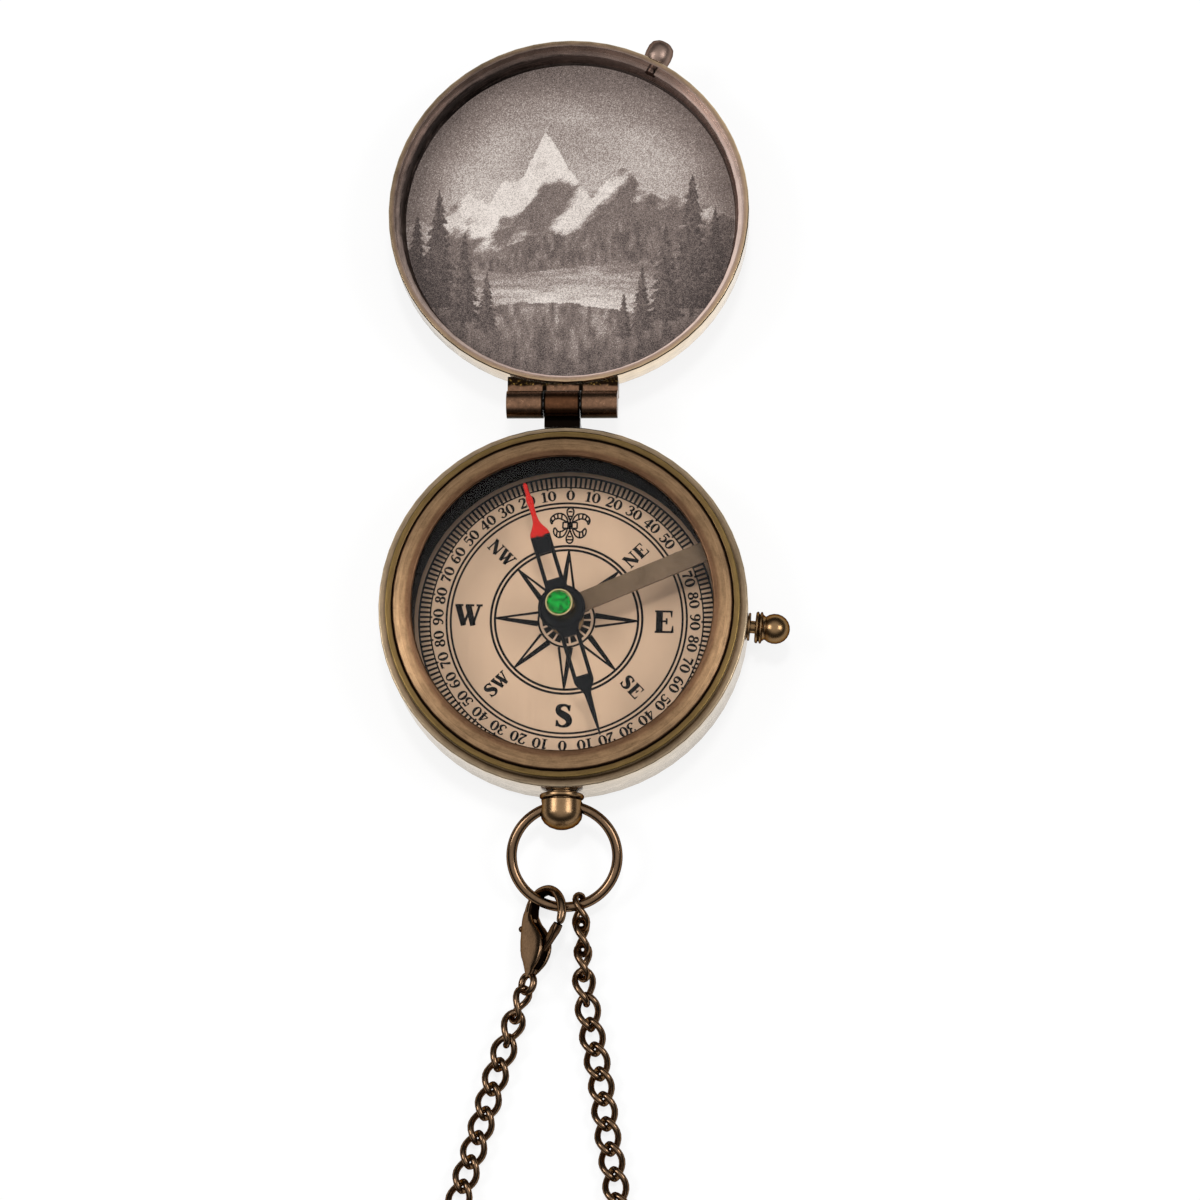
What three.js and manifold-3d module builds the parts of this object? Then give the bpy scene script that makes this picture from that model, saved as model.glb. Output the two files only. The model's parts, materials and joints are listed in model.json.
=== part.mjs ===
// A pocket compass with a hinged lid, a stop lever for its needle, a bow ring and a curb chain.
// Millimetres, +Z up, +Y towards the hinge. The origin is the centre of the case's bottom face.
// The lid lies open at 180 degrees, and azimuths count clockwise from +Y.
import * as THREE from 'three';
import { mergeVertices } from 'three/addons/utils/BufferGeometryUtils.js';
import Module from 'manifold-3d';

const wasm = await Module();
wasm.setup();

// Fits
const SLIP = 0.1; // radial gap of pressed and soldered pieces
const SEAT = 0.02; // gap between stacked faces
const RUNNING = 0.08; // radial gap of pins and stems that turn or slide
const TOUCH = 0.06; // gap between the stop lever and what it meets

// Case
const CASE_RADIUS = 25;
const CASE_HEIGHT = 12;
const LEDGE_WIDTH = 1;
const LEDGE_DROP = 1.6;
const RIM_WIDTH = 0.95;
const FLOOR_THICKNESS = 1.2;
const BOTTOM_ROUND = 2;
const EDGE_BREAK = 0.15;

// Dial, sleeve, glass and bezel
const DIAL_THICKNESS = 0.5;
const SLEEVE_WALL = 2;
const GLASS_THICKNESS = 0.8;
const GLASS_CLEARANCE = 0.43; // room between the needle's stone and the glass
const BEZEL_SKIRT = 0.6;
const BEZEL_WIDTH = 2.6;
const BEZEL_EDGE = 0.1; // height of the bezel's outer edge above the rim
const BEZEL_RISE = 0.45; // height of the bezel's inner edge above the rim
const BEZEL_FLAT = 0.6;

// Stop knob
const KNOB_AZIMUTH = 94.9;
const KNOB_TRAVEL = 0.6;
const STEM_RADIUS = 0.85;
const NOSE_OVERHANG = 0.2; // reach of the stem's nose past the lever's tail
const BUSH_RADIUS = 1.5;
const BUSH_HEAD_RADIUS = 1.9;
const BUSH_HEAD = 0.3;
const COLLAR_RADIUS = 2.15;
const COLLAR_WIDTH = 1;
const COLLAR_GROOVE = 0.35;
const BALL_RADIUS = 2.05;
const CLIP_RADIUS = 1.5;
const CLIP_THICKNESS = 0.4;

// Stop lever
const LEVER_AZIMUTH = 67;
const LEVER_WIDTH = 2.7;
const LEVER_THICKNESS = 0.5;
const LEVER_SWING = 2; // degrees that the lever rises when the knob is pressed
const LEVER_PIN_DEPTH = 1.2; // distance of the lever's pin behind the sleeve's bore
const LEVER_PIN_RADIUS = 0.35;
const LEVER_EYE_RADIUS = 0.75;
const TAIL_WIDTH = 0.7;
const FORK_PAST = 1.2; // reach of the fork past the needle's axis
const FORK_SLOT = 1.2; // half width of the fork's slot
const EAR_THICKNESS = 0.5;
const BRACKET_PLATE = 0.25;
const BRACKET_DROP = 1.6;
const WINDOW_MARGIN = 4; // degrees of room beside the bracket and the stem
const WINDOW_ROOM = 0.5;

// Needle
const NEEDLE_HEADING = -16.5;
const NEEDLE_REACH = 18.2;
const NEEDLE_THICKNESS = 0.4;
const HUB_RADIUS = 3.2;
const HUB_RIM = 0.35;
const HUB_HOLE = 1;
const ARM_WIDTH = 2.6;
const RAIL_WIDTH = 0.6;
const SHOULDER_RADIUS = 10.6;
const SLOT_END = 9.2;
const TIP_WIDTH = 0.5;
const BEAD_RADIUS = 0.5;
const BEAD_PLACE = 15;
const POST_RADIUS = 0.6;
const POST_FOOT_RADIUS = 2.4;
const POST_FOOT = 0.6;
const POINT_LENGTH = 2.4;
const POINT_RISE = 0.75; // height of the steel point above the needle
const CAP_RADIUS = 1.9;
const CAP_HEIGHT = 1.25;
const CAP_RIM = 0.22;
const SOCKET_RADIUS = 1;
const STONE_SET = 0.3;
const STONE_CROWN = 0.62;

// Lid
const LID_DEPTH = 5.6;
const LID_FLOOR = 0.8;
const LID_CLEARANCE = 0.2;
const LID_GAP = 0.1;
const LID_SHOULDER = 0.7;
const LID_FILLET = 1.2;
const LID_ROUND = 1.6;
const PLATE_THICKNESS = 0.3;
const PEG_AZIMUTH = 28;
const PEG_DROP = 2.3;
const PEG_RADIUS = 1.65;
const PEG_LENGTH = 3.2;
const PEG_TENON_RADIUS = 0.7;
const PEG_NECK = 0.3;

// Hinge
const HINGE_STAND = 3.15; // distance of the hinge axis from the case wall
const HINGE_SHIFT = -0.45; // the soldered hinge sits a little to the left
const KNUCKLE_RADIUS = 1.9;
const CENTRE_KNUCKLE = 4.9;
const SIDE_KNUCKLE = 5;
const KNUCKLE_GAP = 0.12;
const HINGE_PIN_RADIUS = 0.7;
const LEAF_THICKNESS = 1;
const LEAF_HEIGHT = 4;
const LEAF_TOP = 0.5; // depth of the leaf's top below the hinge axis

// Pendant stud and bow ring
const STUD_DROP = 4; // depth of the stud's axis below the ledge
const STUD_TENON_RADIUS = 1.2;
const STUD_GAP = 0.25;
const STUD_NECK_RADIUS = 2.2;
const STUD_COLLAR_RADIUS = 3;
const STUD_COLLAR = 0.6;
const STUD_GROOVE = 0.2;
const STUD_HEAD_RADIUS = 2.85;
const STUD_HEAD_LENGTH = 4;
const STUD_HOLE_SET = 0.95; // distance of the cross hole's axis from the head's shoulder
const BOW_RADIUS = 7.05;
const BOW_WIRE_RADIUS = 0.7;
const BOW_SAG = 0.3; // how far the bow's top stands off the cross hole's axis
const BOW_TILT = 15;
const BOW_CLEARANCE = 0.12;

// Lobster clasp
const CLASP_ANGLE = -22; // place on the bow, from its lowest point
const CLASP_HEADING = 9.3;
const CLASP_ROLL = 45;
const CLASP_SEAT = 0.15; // how far right of its middle line the clasp hangs on the bow
const CLASP_THICKNESS = 2.2;
const CLASP_BEVEL = 0.35;
const TAIL_RING_RADIUS = 1.7;
const TAIL_HOLE_RADIUS = 0.85;
const TAIL_THICKNESS = 1;
const TAIL_RAMP = 0.9;
const HOOK_RISE = 9.6;
const HOOK_SIDE = 0.35;
const HOOK_RADIUS = 2.6;
const HOOK_WIRE_RADIUS = 0.62;
const HOOK_TIP_RADIUS = 0.5;
const HOOK_TIP = 1.6;
const BODY_WIDTH = 2.6;
const SLOT_LOW = 2.3;
const SLOT_HIGH = 7.4;
const CLASP_SLOT = 1.3;
const GATE_THICKNESS = 0.7;
const GATE_SIDE = 0.75;
const GATE_RISE = 3.7;
const GATE_EYE_RADIUS = 0.95;
const GATE_WIDTH = 1;
const GATE_GAP = 0.2; // between the gate's tip and the hook's
const GATE_SPREAD = 13; // angle of the gate's tip, seen from its rivet
const TAB_RISE = 6.5;
const TAB_REACH = 3.4;
const RIVET_RADIUS = 0.45;
const RIVET_HEAD_RADIUS = 0.75;
const RIVET_HEAD = 0.25;
const SPRING_WIRE_RADIUS = 0.12;
const SPRING_TURNS = 1.25;

// Curb chain
const LINK_LENGTH = 5.1;
const LINK_WIDTH = 3.6;
const LINK_WIRE_RADIUS = 0.4;
const LINK_TWIST = 45;
const LINK_PITCH = 3.36;
const BOW_LINK_ANGLE = 20; // place of the first link on the bow, from its lowest point
const BOW_LINK_SLACK = 0.35; // room between the bow's wire and the end of that link
const LEFT_LINKS = 9;
const RIGHT_LINKS = 12;
const LEFT_ROLLS = [-90, -64, -36, -10, 0];
const RIGHT_ROLLS = [-98, -76, -48, -20, 0];
const LEFT_ROUTE = [[-5.6, -53.2, 2.2], [-6.7, -56.6, 1.82], [-8.2, -61, 1.5], [-9.15, -64.4, 1.3],
  [-10, -67.5, 1.11], [-11.3, -72, 0.98], [-12.7, -76.8, 0.97], [-13.7, -80.5, 0.97]];
const RIGHT_ROUTE = [[2.7, -43.5, 2.3], [2.9, -47, 1.85], [3.05, -49.9, 1.45], [4.05, -56.3, 1],
  [5.35, -63, 0.97], [6.35, -69.9, 0.97], [7.5, -76.7, 0.97], [8.1, -80.6, 0.97]];
const COIL_RADIUS = 20;
const COIL_STEP = 3.4; // how far the spiral moves in over one turn
const COIL_LAYER = 3.4;
const COIL_CENTRE = [-2.7, -104];
const COIL_TUBE_RADIUS = 1.4;
const COIL_END_GAP = 0.3;
const COIL_LEAD_IN = [[-14.9, -84.2, 1.45], [-18.4, -90.6, 1.45], [-21.5, -97.5, 1.45]];
const COIL_LEAD_OUT = [[16.3, -97.5, 4.85], [13.8, -90.6, 4.2], [10.2, -84.2, 2.2]];

// Facets
const ROUND_STEPS = 60;
const SMALL_STEPS = 20;
const WIRE_SIDES = 6;
const MERGE_DISTANCE = 1e-4;

// Sizes that follow from the ones above
const LEDGE_Z = CASE_HEIGHT - LEDGE_DROP;
const RIM_RADIUS = CASE_RADIUS - LEDGE_WIDTH;
const CASE_BORE = RIM_RADIUS - RIM_WIDTH;
const LINER_RADIUS = CASE_BORE - SLIP;
const DIAL_Z = FLOOR_THICKNESS + SEAT;
const DIAL_TOP = DIAL_Z + DIAL_THICKNESS;
const SLEEVE_BORE = LINER_RADIUS - SLEEVE_WALL;
const GLASS_Z = CASE_HEIGHT - GLASS_THICKNESS;
const GLASS_RADIUS = LINER_RADIUS - BEZEL_SKIRT - SLIP;
const LEVER_PIVOT = SLEEVE_BORE + LEVER_PIN_DEPTH;
const TAIL_ARM = LEVER_PIVOT - SLEEVE_BORE * Math.cos(radians(KNOB_AZIMUTH - LEVER_AZIMUTH));
const NOSE_RISE = TAIL_ARM * Math.tan(radians(LEVER_SWING));
const FORK_RISE = (LEVER_PIVOT + FORK_PAST) * Math.tan(radians(LEVER_SWING));
const CAP_TOP = GLASS_Z - GLASS_CLEARANCE - STONE_CROWN - SEAT + STONE_SET;
const NEEDLE_TOP = CAP_TOP - CAP_HEIGHT - SEAT;
const NEEDLE_Z = NEEDLE_TOP - NEEDLE_THICKNESS;
const LEVER_TOP = NEEDLE_Z - TOUCH - FORK_RISE;
const LEVER_Z = LEVER_TOP - LEVER_THICKNESS;
const KNOB_Z = LEVER_Z - TOUCH + NOSE_RISE - STEM_RADIUS;
const HINGE_Y = CASE_RADIUS + HINGE_STAND;
const HINGE_Z = LEDGE_Z + LID_GAP / 2;
const LID_Z = 2 * HINGE_Z - LEDGE_Z - LID_GAP;
const MOUTH_RADIUS = RIM_RADIUS + LID_CLEARANCE;
const LID_INNER = MOUTH_RADIUS - LID_SHOULDER;
const STUD_Z = LEDGE_Z - STUD_DROP;
const STUD_COLLAR_Y = CASE_RADIUS + STUD_GAP;
const STUD_HEAD_Y = STUD_COLLAR_Y + STUD_COLLAR + STUD_GROOVE;
const STUD_HOLE_Y = STUD_HEAD_Y + STUD_HOLE_SET;

function radians(degrees) {
  return THREE.MathUtils.degToRad(degrees);
}

// Helpers for shapes

function solid(geometry) {
  const bare = geometry.clone();
  bare.deleteAttribute('normal');
  bare.deleteAttribute('uv');
  const merged = mergeVertices(bare, MERGE_DISTANCE);
  const corners = merged.index.array;
  const kept = [];
  for (let i = 0; i < corners.length; i += 3) {
    const [a, b, c] = corners.slice(i, i + 3);
    if (a !== b && b !== c && c !== a) kept.push(a, b, c);
  }
  return new wasm.Manifold(new wasm.Mesh({
    numProp: 3,
    vertProperties: Float32Array.from(merged.attributes.position.array),
    triVerts: Uint32Array.from(kept),
  }));
}

function geometryOf(manifold) {
  const mesh = manifold.getMesh();
  const geometry = new THREE.BufferGeometry();
  geometry.setAttribute('position', new THREE.BufferAttribute(mesh.vertProperties, 3));
  geometry.setIndex(new THREE.BufferAttribute(mesh.triVerts, 1));
  geometry.computeVertexNormals();
  return geometry;
}

// A profile of [radius, height] points turned about +Z, going up on its outer side
function turned(profile, steps = ROUND_STEPS) {
  const points = profile.map(([radius, height]) => new THREE.Vector2(radius, height));
  return new THREE.LatheGeometry(points, steps).rotateX(Math.PI / 2);
}

function closed(profile) {
  return [...profile, profile[0]];
}

// Points of an arc in a profile, angles in degrees
function arc(radius, height, size, from, to, steps) {
  const points = [];
  for (let i = 0; i <= steps; i += 1) {
    const angle = radians(from + (to - from) * i / steps);
    points.push([radius + size * Math.cos(angle), height + size * Math.sin(angle)]);
  }
  return points;
}

function rod(radius, from, to, steps = SMALL_STEPS) {
  return turned([[0, from], [radius, from], [radius, to], [0, to]], steps);
}

function slab(shape, thickness, curveSegments = 8) {
  return new THREE.ExtrudeGeometry(shape, { depth: thickness, bevelEnabled: false, curveSegments });
}

// A ring sector between two radii and two azimuths
function sector(inner, outer, from, to, low, high) {
  const shape = new THREE.Shape();
  const start = radians(90 - to);
  const end = radians(90 - from);
  shape.absarc(0, 0, outer, start, end, false);
  shape.absarc(0, 0, inner, end, start, true);
  return slab(shape, high - low, ROUND_STEPS / 3).translate(0, 0, low);
}

function polygon(points) {
  return new THREE.Shape(points.map(([x, y]) => new THREE.Vector2(x, y)));
}

// Frames: local +Z points outwards along an azimuth, at a height
function radialFrame(azimuth, height) {
  const frame = new THREE.Group();
  frame.position.z = height;
  frame.rotation.set(-Math.PI / 2, 0, -radians(azimuth), 'ZXY');
  frame.updateMatrix();
  return frame;
}

function piece(parent, name, geometry, material) {
  const mesh = new THREE.Mesh(geometry, material);
  mesh.name = name;
  parent.add(mesh);
}

// Materials

function metal(color, roughness) {
  return new THREE.MeshStandardMaterial({ color, roughness, metalness: 1 });
}

const ANTIQUE_BRASS = metal('#8a6a46', 0.38);
const BRIGHT_BRASS = metal('#b8915c', 0.3);
const CHAIN_BRASS = metal('#6b5238', 0.35);
const BLACK_STEEL = metal('#1b1b1d', 0.4);
const PIN_STEEL = metal('#8d8f92', 0.3);
const DIAL_COPPER = new THREE.MeshStandardMaterial({ color: '#d9b591', roughness: 0.45, metalness: 0.3 });
const PLATE_SEPIA = new THREE.MeshStandardMaterial({ color: '#857568', roughness: 0.6, metalness: 0.4 });
const CLEAR_GLASS = new THREE.MeshStandardMaterial({
  color: '#f4f7f7', roughness: 0.05, metalness: 0, transparent: true, opacity: 0.2,
});
const GREEN_STONE = new THREE.MeshStandardMaterial({ color: '#1d9a3c', roughness: 0.1, metalness: 0 });

// Case

function caseShell() {
  const cup = turned([
    [0, 0],
    ...arc(CASE_RADIUS - BOTTOM_ROUND, BOTTOM_ROUND, BOTTOM_ROUND, -90, 0, 4),
    [CASE_RADIUS, LEDGE_Z - EDGE_BREAK],
    [CASE_RADIUS - EDGE_BREAK, LEDGE_Z],
    [RIM_RADIUS, LEDGE_Z],
    [RIM_RADIUS, CASE_HEIGHT - EDGE_BREAK],
    [RIM_RADIUS - EDGE_BREAK, CASE_HEIGHT],
    [CASE_BORE + EDGE_BREAK, CASE_HEIGHT],
    [CASE_BORE, CASE_HEIGHT - EDGE_BREAK],
    [CASE_BORE, FLOOR_THICKNESS],
    [0, FLOOR_THICKNESS],
  ]);
  const bushHole = rod(BUSH_RADIUS + SLIP, CASE_BORE - 1, CASE_RADIUS + 1)
    .applyMatrix4(radialFrame(KNOB_AZIMUTH, KNOB_Z).matrix);
  const studHole = rod(STUD_TENON_RADIUS + SLIP, CASE_BORE - 1, CASE_RADIUS + 1)
    .applyMatrix4(radialFrame(180, STUD_Z).matrix);
  return geometryOf(solid(cup).subtract(solid(bushHole)).subtract(solid(studHole)));
}

function dialPlate() {
  const hole = POST_RADIUS + SLIP;
  return turned(closed([[hole, DIAL_Z], [LINER_RADIUS, DIAL_Z], [LINER_RADIUS, DIAL_TOP], [hole, DIAL_TOP]]));
}

// The sleeve has a window for the lever's bracket, its tail and the knob's stem
function spacerSleeve() {
  const low = DIAL_TOP + SEAT;
  const high = GLASS_Z - SEAT;
  const ring = turned(closed([[SLEEVE_BORE, low], [LINER_RADIUS, low], [LINER_RADIUS, high], [SLEEVE_BORE, high]]));
  const half = LEVER_WIDTH / 2 + EAR_THICKNESS + WINDOW_ROOM;
  const clipHalf = Math.max(CLIP_RADIUS, BUSH_RADIUS) + WINDOW_ROOM;
  const from = LEVER_AZIMUTH - THREE.MathUtils.radToDeg(half / SLEEVE_BORE) - WINDOW_MARGIN;
  const to = KNOB_AZIMUTH + THREE.MathUtils.radToDeg(clipHalf / SLEEVE_BORE) + WINDOW_MARGIN;
  const sill = KNOB_Z - clipHalf;
  const head = LEVER_TOP + NOSE_RISE + LEVER_EYE_RADIUS + WINDOW_ROOM;
  const window = sector(SLEEVE_BORE - 1, LINER_RADIUS + 1, from, to, sill, head);
  return geometryOf(solid(ring).subtract(solid(window)));
}

function crystal() {
  return turned([
    [0, GLASS_Z],
    [GLASS_RADIUS, GLASS_Z],
    [GLASS_RADIUS, CASE_HEIGHT - EDGE_BREAK],
    [GLASS_RADIUS - EDGE_BREAK, CASE_HEIGHT],
    [0, CASE_HEIGHT],
  ]);
}

function bezelRing() {
  const inner = LINER_RADIUS - BEZEL_WIDTH;
  const skirt = LINER_RADIUS - BEZEL_SKIRT;
  const under = CASE_HEIGHT + SEAT;
  const edge = CASE_HEIGHT + BEZEL_EDGE;
  const top = CASE_HEIGHT + BEZEL_RISE;
  return turned(closed([
    [inner, under],
    [skirt, under],
    [skirt, GLASS_Z],
    [LINER_RADIUS, GLASS_Z],
    [LINER_RADIUS, edge - EDGE_BREAK],
    [LINER_RADIUS - EDGE_BREAK, edge],
    [inner + BEZEL_FLAT, top],
    [inner + EDGE_BREAK, top],
    [inner, top - EDGE_BREAK],
  ]));
}

function pivotPost() {
  const tip = NEEDLE_TOP + POINT_RISE;
  return turned([
    [0, DIAL_TOP + SEAT],
    [POST_FOOT_RADIUS, DIAL_TOP + SEAT],
    [POST_FOOT_RADIUS, DIAL_TOP + POST_FOOT],
    [POST_RADIUS, DIAL_TOP + 2 * POST_FOOT],
    [POST_RADIUS, tip - POINT_LENGTH],
    [0, tip],
  ], SMALL_STEPS);
}

// Needle: a flat stamping with open arms, a shoulder and a beaded tip, and a raised hub

function needleArm() {
  const half = ARM_WIDTH / 2;
  const tip = TIP_WIDTH / 2;
  const root = Math.sqrt(HUB_RADIUS ** 2 - half ** 2) - HUB_RIM;
  const arm = polygon([
    [half, root],
    [half, SHOULDER_RADIUS - half],
    [half, SHOULDER_RADIUS],
    [tip, SHOULDER_RADIUS + half],
    [tip, BEAD_PLACE - BEAD_RADIUS],
    [BEAD_RADIUS, BEAD_PLACE],
    [tip, BEAD_PLACE + BEAD_RADIUS],
    [tip / 2, NEEDLE_REACH],
    [-tip / 2, NEEDLE_REACH],
    [-tip, BEAD_PLACE + BEAD_RADIUS],
    [-BEAD_RADIUS, BEAD_PLACE],
    [-tip, BEAD_PLACE - BEAD_RADIUS],
    [-tip, SHOULDER_RADIUS + half],
    [-half, SHOULDER_RADIUS],
    [-half, root],
  ]);
  const slot = new THREE.Path();
  const inside = half - RAIL_WIDTH;
  slot.absarc(0, HUB_RADIUS + inside, inside, 0, Math.PI, true);
  slot.absarc(0, SLOT_END - inside, inside, Math.PI, 0, true);
  arm.holes.push(slot);
  const north = slab(arm, NEEDLE_THICKNESS).translate(0, 0, NEEDLE_Z);
  const south = north.clone().rotateZ(Math.PI);
  const lip = NEEDLE_TOP + HUB_RIM;
  const hub = turned(closed([
    [HUB_HOLE, NEEDLE_Z],
    [HUB_RADIUS, NEEDLE_Z],
    [HUB_RADIUS, lip - EDGE_BREAK],
    [HUB_RADIUS - EDGE_BREAK, lip],
    [HUB_RADIUS - HUB_RIM, lip],
    [HUB_RADIUS - 2 * HUB_RIM, NEEDLE_TOP],
    [HUB_HOLE, NEEDLE_TOP],
  ]), SMALL_STEPS + 12);
  return geometryOf(solid(hub).add(solid(north)).add(solid(south))).rotateZ(-radians(NEEDLE_HEADING));
}

function needleCap() {
  const low = NEEDLE_TOP + SEAT;
  const top = CAP_TOP;
  return turned([
    [0, NEEDLE_TOP + POINT_RISE + SLIP],
    [SOCKET_RADIUS, low],
    [CAP_RADIUS, low],
    [CAP_RADIUS, top - EDGE_BREAK],
    [CAP_RADIUS - EDGE_BREAK, top],
    [CAP_RADIUS - CAP_RIM, top],
    [CAP_RADIUS - CAP_RIM, top - STONE_SET],
    [0, top - STONE_SET],
  ], SMALL_STEPS + 8);
}

// A cut stone with a flat table and a ring of facets
function needleJewel() {
  const girdle = CAP_RADIUS - CAP_RIM - SLIP / 2;
  const low = CAP_TOP - STONE_SET + SEAT;
  const rows = 10;
  return turned([
    [0, low],
    [girdle, low],
    [girdle, low + STONE_CROWN * 0.45],
    [girdle * 0.82, low + STONE_CROWN * 0.8],
    [girdle * 0.52, low + STONE_CROWN],
    [0, low + STONE_CROWN],
  ], rows);
}

// Stop knob, all turned about one radial axis

function knobBush() {
  const bore = STEM_RADIUS + RUNNING;
  return turned(closed([
    [bore, CASE_BORE],
    [BUSH_RADIUS, CASE_BORE],
    [BUSH_RADIUS, CASE_RADIUS + SEAT],
    [BUSH_HEAD_RADIUS, CASE_RADIUS + SEAT],
    [BUSH_HEAD_RADIUS, CASE_RADIUS + SEAT + BUSH_HEAD],
    [bore, CASE_RADIUS + SEAT + BUSH_HEAD],
  ]), SMALL_STEPS);
}

function clipPlace() {
  return CASE_BORE - SLIP - CLIP_THICKNESS;
}

function stopKnob() {
  const noseEnd = SLEEVE_BORE - TAIL_WIDTH / 2 - NOSE_OVERHANG;
  const noseStart = SLEEVE_BORE + TAIL_WIDTH / 2 + KNOB_TRAVEL;
  const noseRadius = STEM_RADIUS - NOSE_RISE * (noseStart - noseEnd) / KNOB_TRAVEL;
  const collar = CASE_RADIUS + SEAT + BUSH_HEAD + KNOB_TRAVEL + SLIP;
  const groove = collar + COLLAR_WIDTH / 2;
  const ballCentre = collar + COLLAR_WIDTH + BALL_RADIUS * 0.8;
  return turned([
    [0, noseEnd],
    [noseRadius, noseEnd],
    [STEM_RADIUS, noseStart],
    [STEM_RADIUS, collar],
    [COLLAR_RADIUS - EDGE_BREAK, collar],
    [COLLAR_RADIUS, collar + EDGE_BREAK],
    [COLLAR_RADIUS, groove - EDGE_BREAK],
    [COLLAR_RADIUS - COLLAR_GROOVE, groove],
    [COLLAR_RADIUS, groove + EDGE_BREAK],
    [COLLAR_RADIUS, collar + COLLAR_WIDTH - EDGE_BREAK],
    [COLLAR_RADIUS - COLLAR_GROOVE, collar + COLLAR_WIDTH],
    ...arc(0, ballCentre, BALL_RADIUS, -40, 75, 7),
    [0, ballCentre + BALL_RADIUS],
  ], SMALL_STEPS + 4);
}

function knobClip() {
  const inner = STEM_RADIUS + RUNNING / 2;
  const low = clipPlace();
  const high = low + CLIP_THICKNESS;
  return turned(closed([[inner, low], [CLIP_RADIUS, low], [CLIP_RADIUS, high], [inner, high]]), SMALL_STEPS);
}

// Stop lever, drawn with its arm along +Y and turned to its azimuth

function stopLever() {
  const half = LEVER_WIDTH / 2;
  const arm = polygon([
    [-half, LEVER_PIVOT],
    [-half, -FORK_PAST],
    [-FORK_SLOT / 2 - POST_RADIUS, -FORK_PAST],
    [-FORK_SLOT / 2 - POST_RADIUS, FORK_SLOT],
    [FORK_SLOT / 2 + POST_RADIUS, FORK_SLOT],
    [FORK_SLOT / 2 + POST_RADIUS, -FORK_PAST],
    [half, -FORK_PAST],
    [half, LEVER_PIVOT],
  ]);
  const strip = slab(arm, LEVER_THICKNESS).translate(0, 0, LEVER_Z);
  const tailEnd = KNOB_AZIMUTH - LEVER_AZIMUTH + THREE.MathUtils.radToDeg(STEM_RADIUS / SLEEVE_BORE);
  const tail = sector(SLEEVE_BORE - TAIL_WIDTH / 2, SLEEVE_BORE + TAIL_WIDTH / 2, 0, tailEnd, LEVER_Z, LEVER_TOP);
  const axis = new THREE.Matrix4().makeRotationY(Math.PI / 2).setPosition(0, LEVER_PIVOT, leverAxisZ());
  const eye = rod(LEVER_EYE_RADIUS, -half, half).applyMatrix4(axis);
  const bore = rod(LEVER_PIN_RADIUS + RUNNING, -half - 1, half + 1).applyMatrix4(axis);
  return geometryOf(solid(strip).add(solid(tail)).add(solid(eye)).subtract(solid(bore)));
}

function leverAxisZ() {
  return LEVER_Z + LEVER_THICKNESS / 2;
}

function leverPin() {
  const reach = LEVER_WIDTH / 2 + RUNNING + EAR_THICKNESS;
  return rod(LEVER_PIN_RADIUS, -reach, reach).rotateY(Math.PI / 2).translate(0, LEVER_PIVOT, leverAxisZ());
}

// A bent plate with two ears round the lever's eye, standing on the sleeve's sill
function leverBracket() {
  const inside = LEVER_WIDTH / 2 + RUNNING;
  const outside = inside + EAR_THICKNESS;
  const back = Math.sqrt(LINER_RADIUS ** 2 - outside ** 2) - SLIP;
  const low = leverAxisZ() - BRACKET_DROP;
  const front = LEVER_PIVOT - LEVER_EYE_RADIUS;
  const ear = new THREE.Shape();
  ear.moveTo(front, low);
  ear.lineTo(back, low);
  ear.lineTo(back, leverAxisZ());
  ear.absarc(LEVER_PIVOT, leverAxisZ(), back - LEVER_PIVOT, 0, Math.PI, false);
  ear.lineTo(front, leverAxisZ());
  const hole = new THREE.Path();
  hole.absarc(LEVER_PIVOT, leverAxisZ(), LEVER_PIN_RADIUS + RUNNING, 0, 2 * Math.PI, true);
  ear.holes.push(hole);
  const turn = new THREE.Matrix4().makeBasis(
    new THREE.Vector3(0, 1, 0), new THREE.Vector3(0, 0, 1), new THREE.Vector3(1, 0, 0));
  const right = slab(ear, EAR_THICKNESS).applyMatrix4(turn).translate(inside, 0, 0);
  const left = right.clone().translate(-inside - outside, 0, 0);
  const plate = new THREE.BoxGeometry(2 * outside, back - front, BRACKET_PLATE)
    .translate(0, (back + front) / 2, low + BRACKET_PLATE / 2);
  return geometryOf(solid(plate).add(solid(right)).add(solid(left)));
}

// Lid, drawn open with its rim at z 0 and its cup hanging down

function lidShell() {
  const floor = LID_FLOOR - LID_DEPTH;
  const mouth = -LEDGE_DROP - LID_CLEARANCE;
  const cup = turned([
    [0, -LID_DEPTH],
    ...arc(CASE_RADIUS - LID_ROUND, LID_ROUND - LID_DEPTH, LID_ROUND, -90, 0, 4),
    [CASE_RADIUS, -EDGE_BREAK],
    [CASE_RADIUS - EDGE_BREAK, 0],
    [MOUTH_RADIUS, 0],
    [MOUTH_RADIUS, mouth],
    [LID_INNER, mouth],
    ...arc(LID_INNER - LID_FILLET, floor + LID_FILLET, LID_FILLET, 0, -90, 3),
    [0, floor],
  ]);
  const pegHole = rod(PEG_TENON_RADIUS + SLIP, LID_INNER - 1, CASE_RADIUS + 1)
    .applyMatrix4(radialFrame(PEG_AZIMUTH, -PEG_DROP).matrix);
  return geometryOf(solid(cup).subtract(solid(pegHole)));
}

function picturePlate() {
  const floor = LID_FLOOR - LID_DEPTH + SEAT;
  const radius = LID_INNER - LID_FILLET - SLIP;
  return turned([
    [0, floor],
    [radius, floor],
    [radius, floor + PLATE_THICKNESS],
    [0, floor + PLATE_THICKNESS],
  ]);
}

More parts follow.
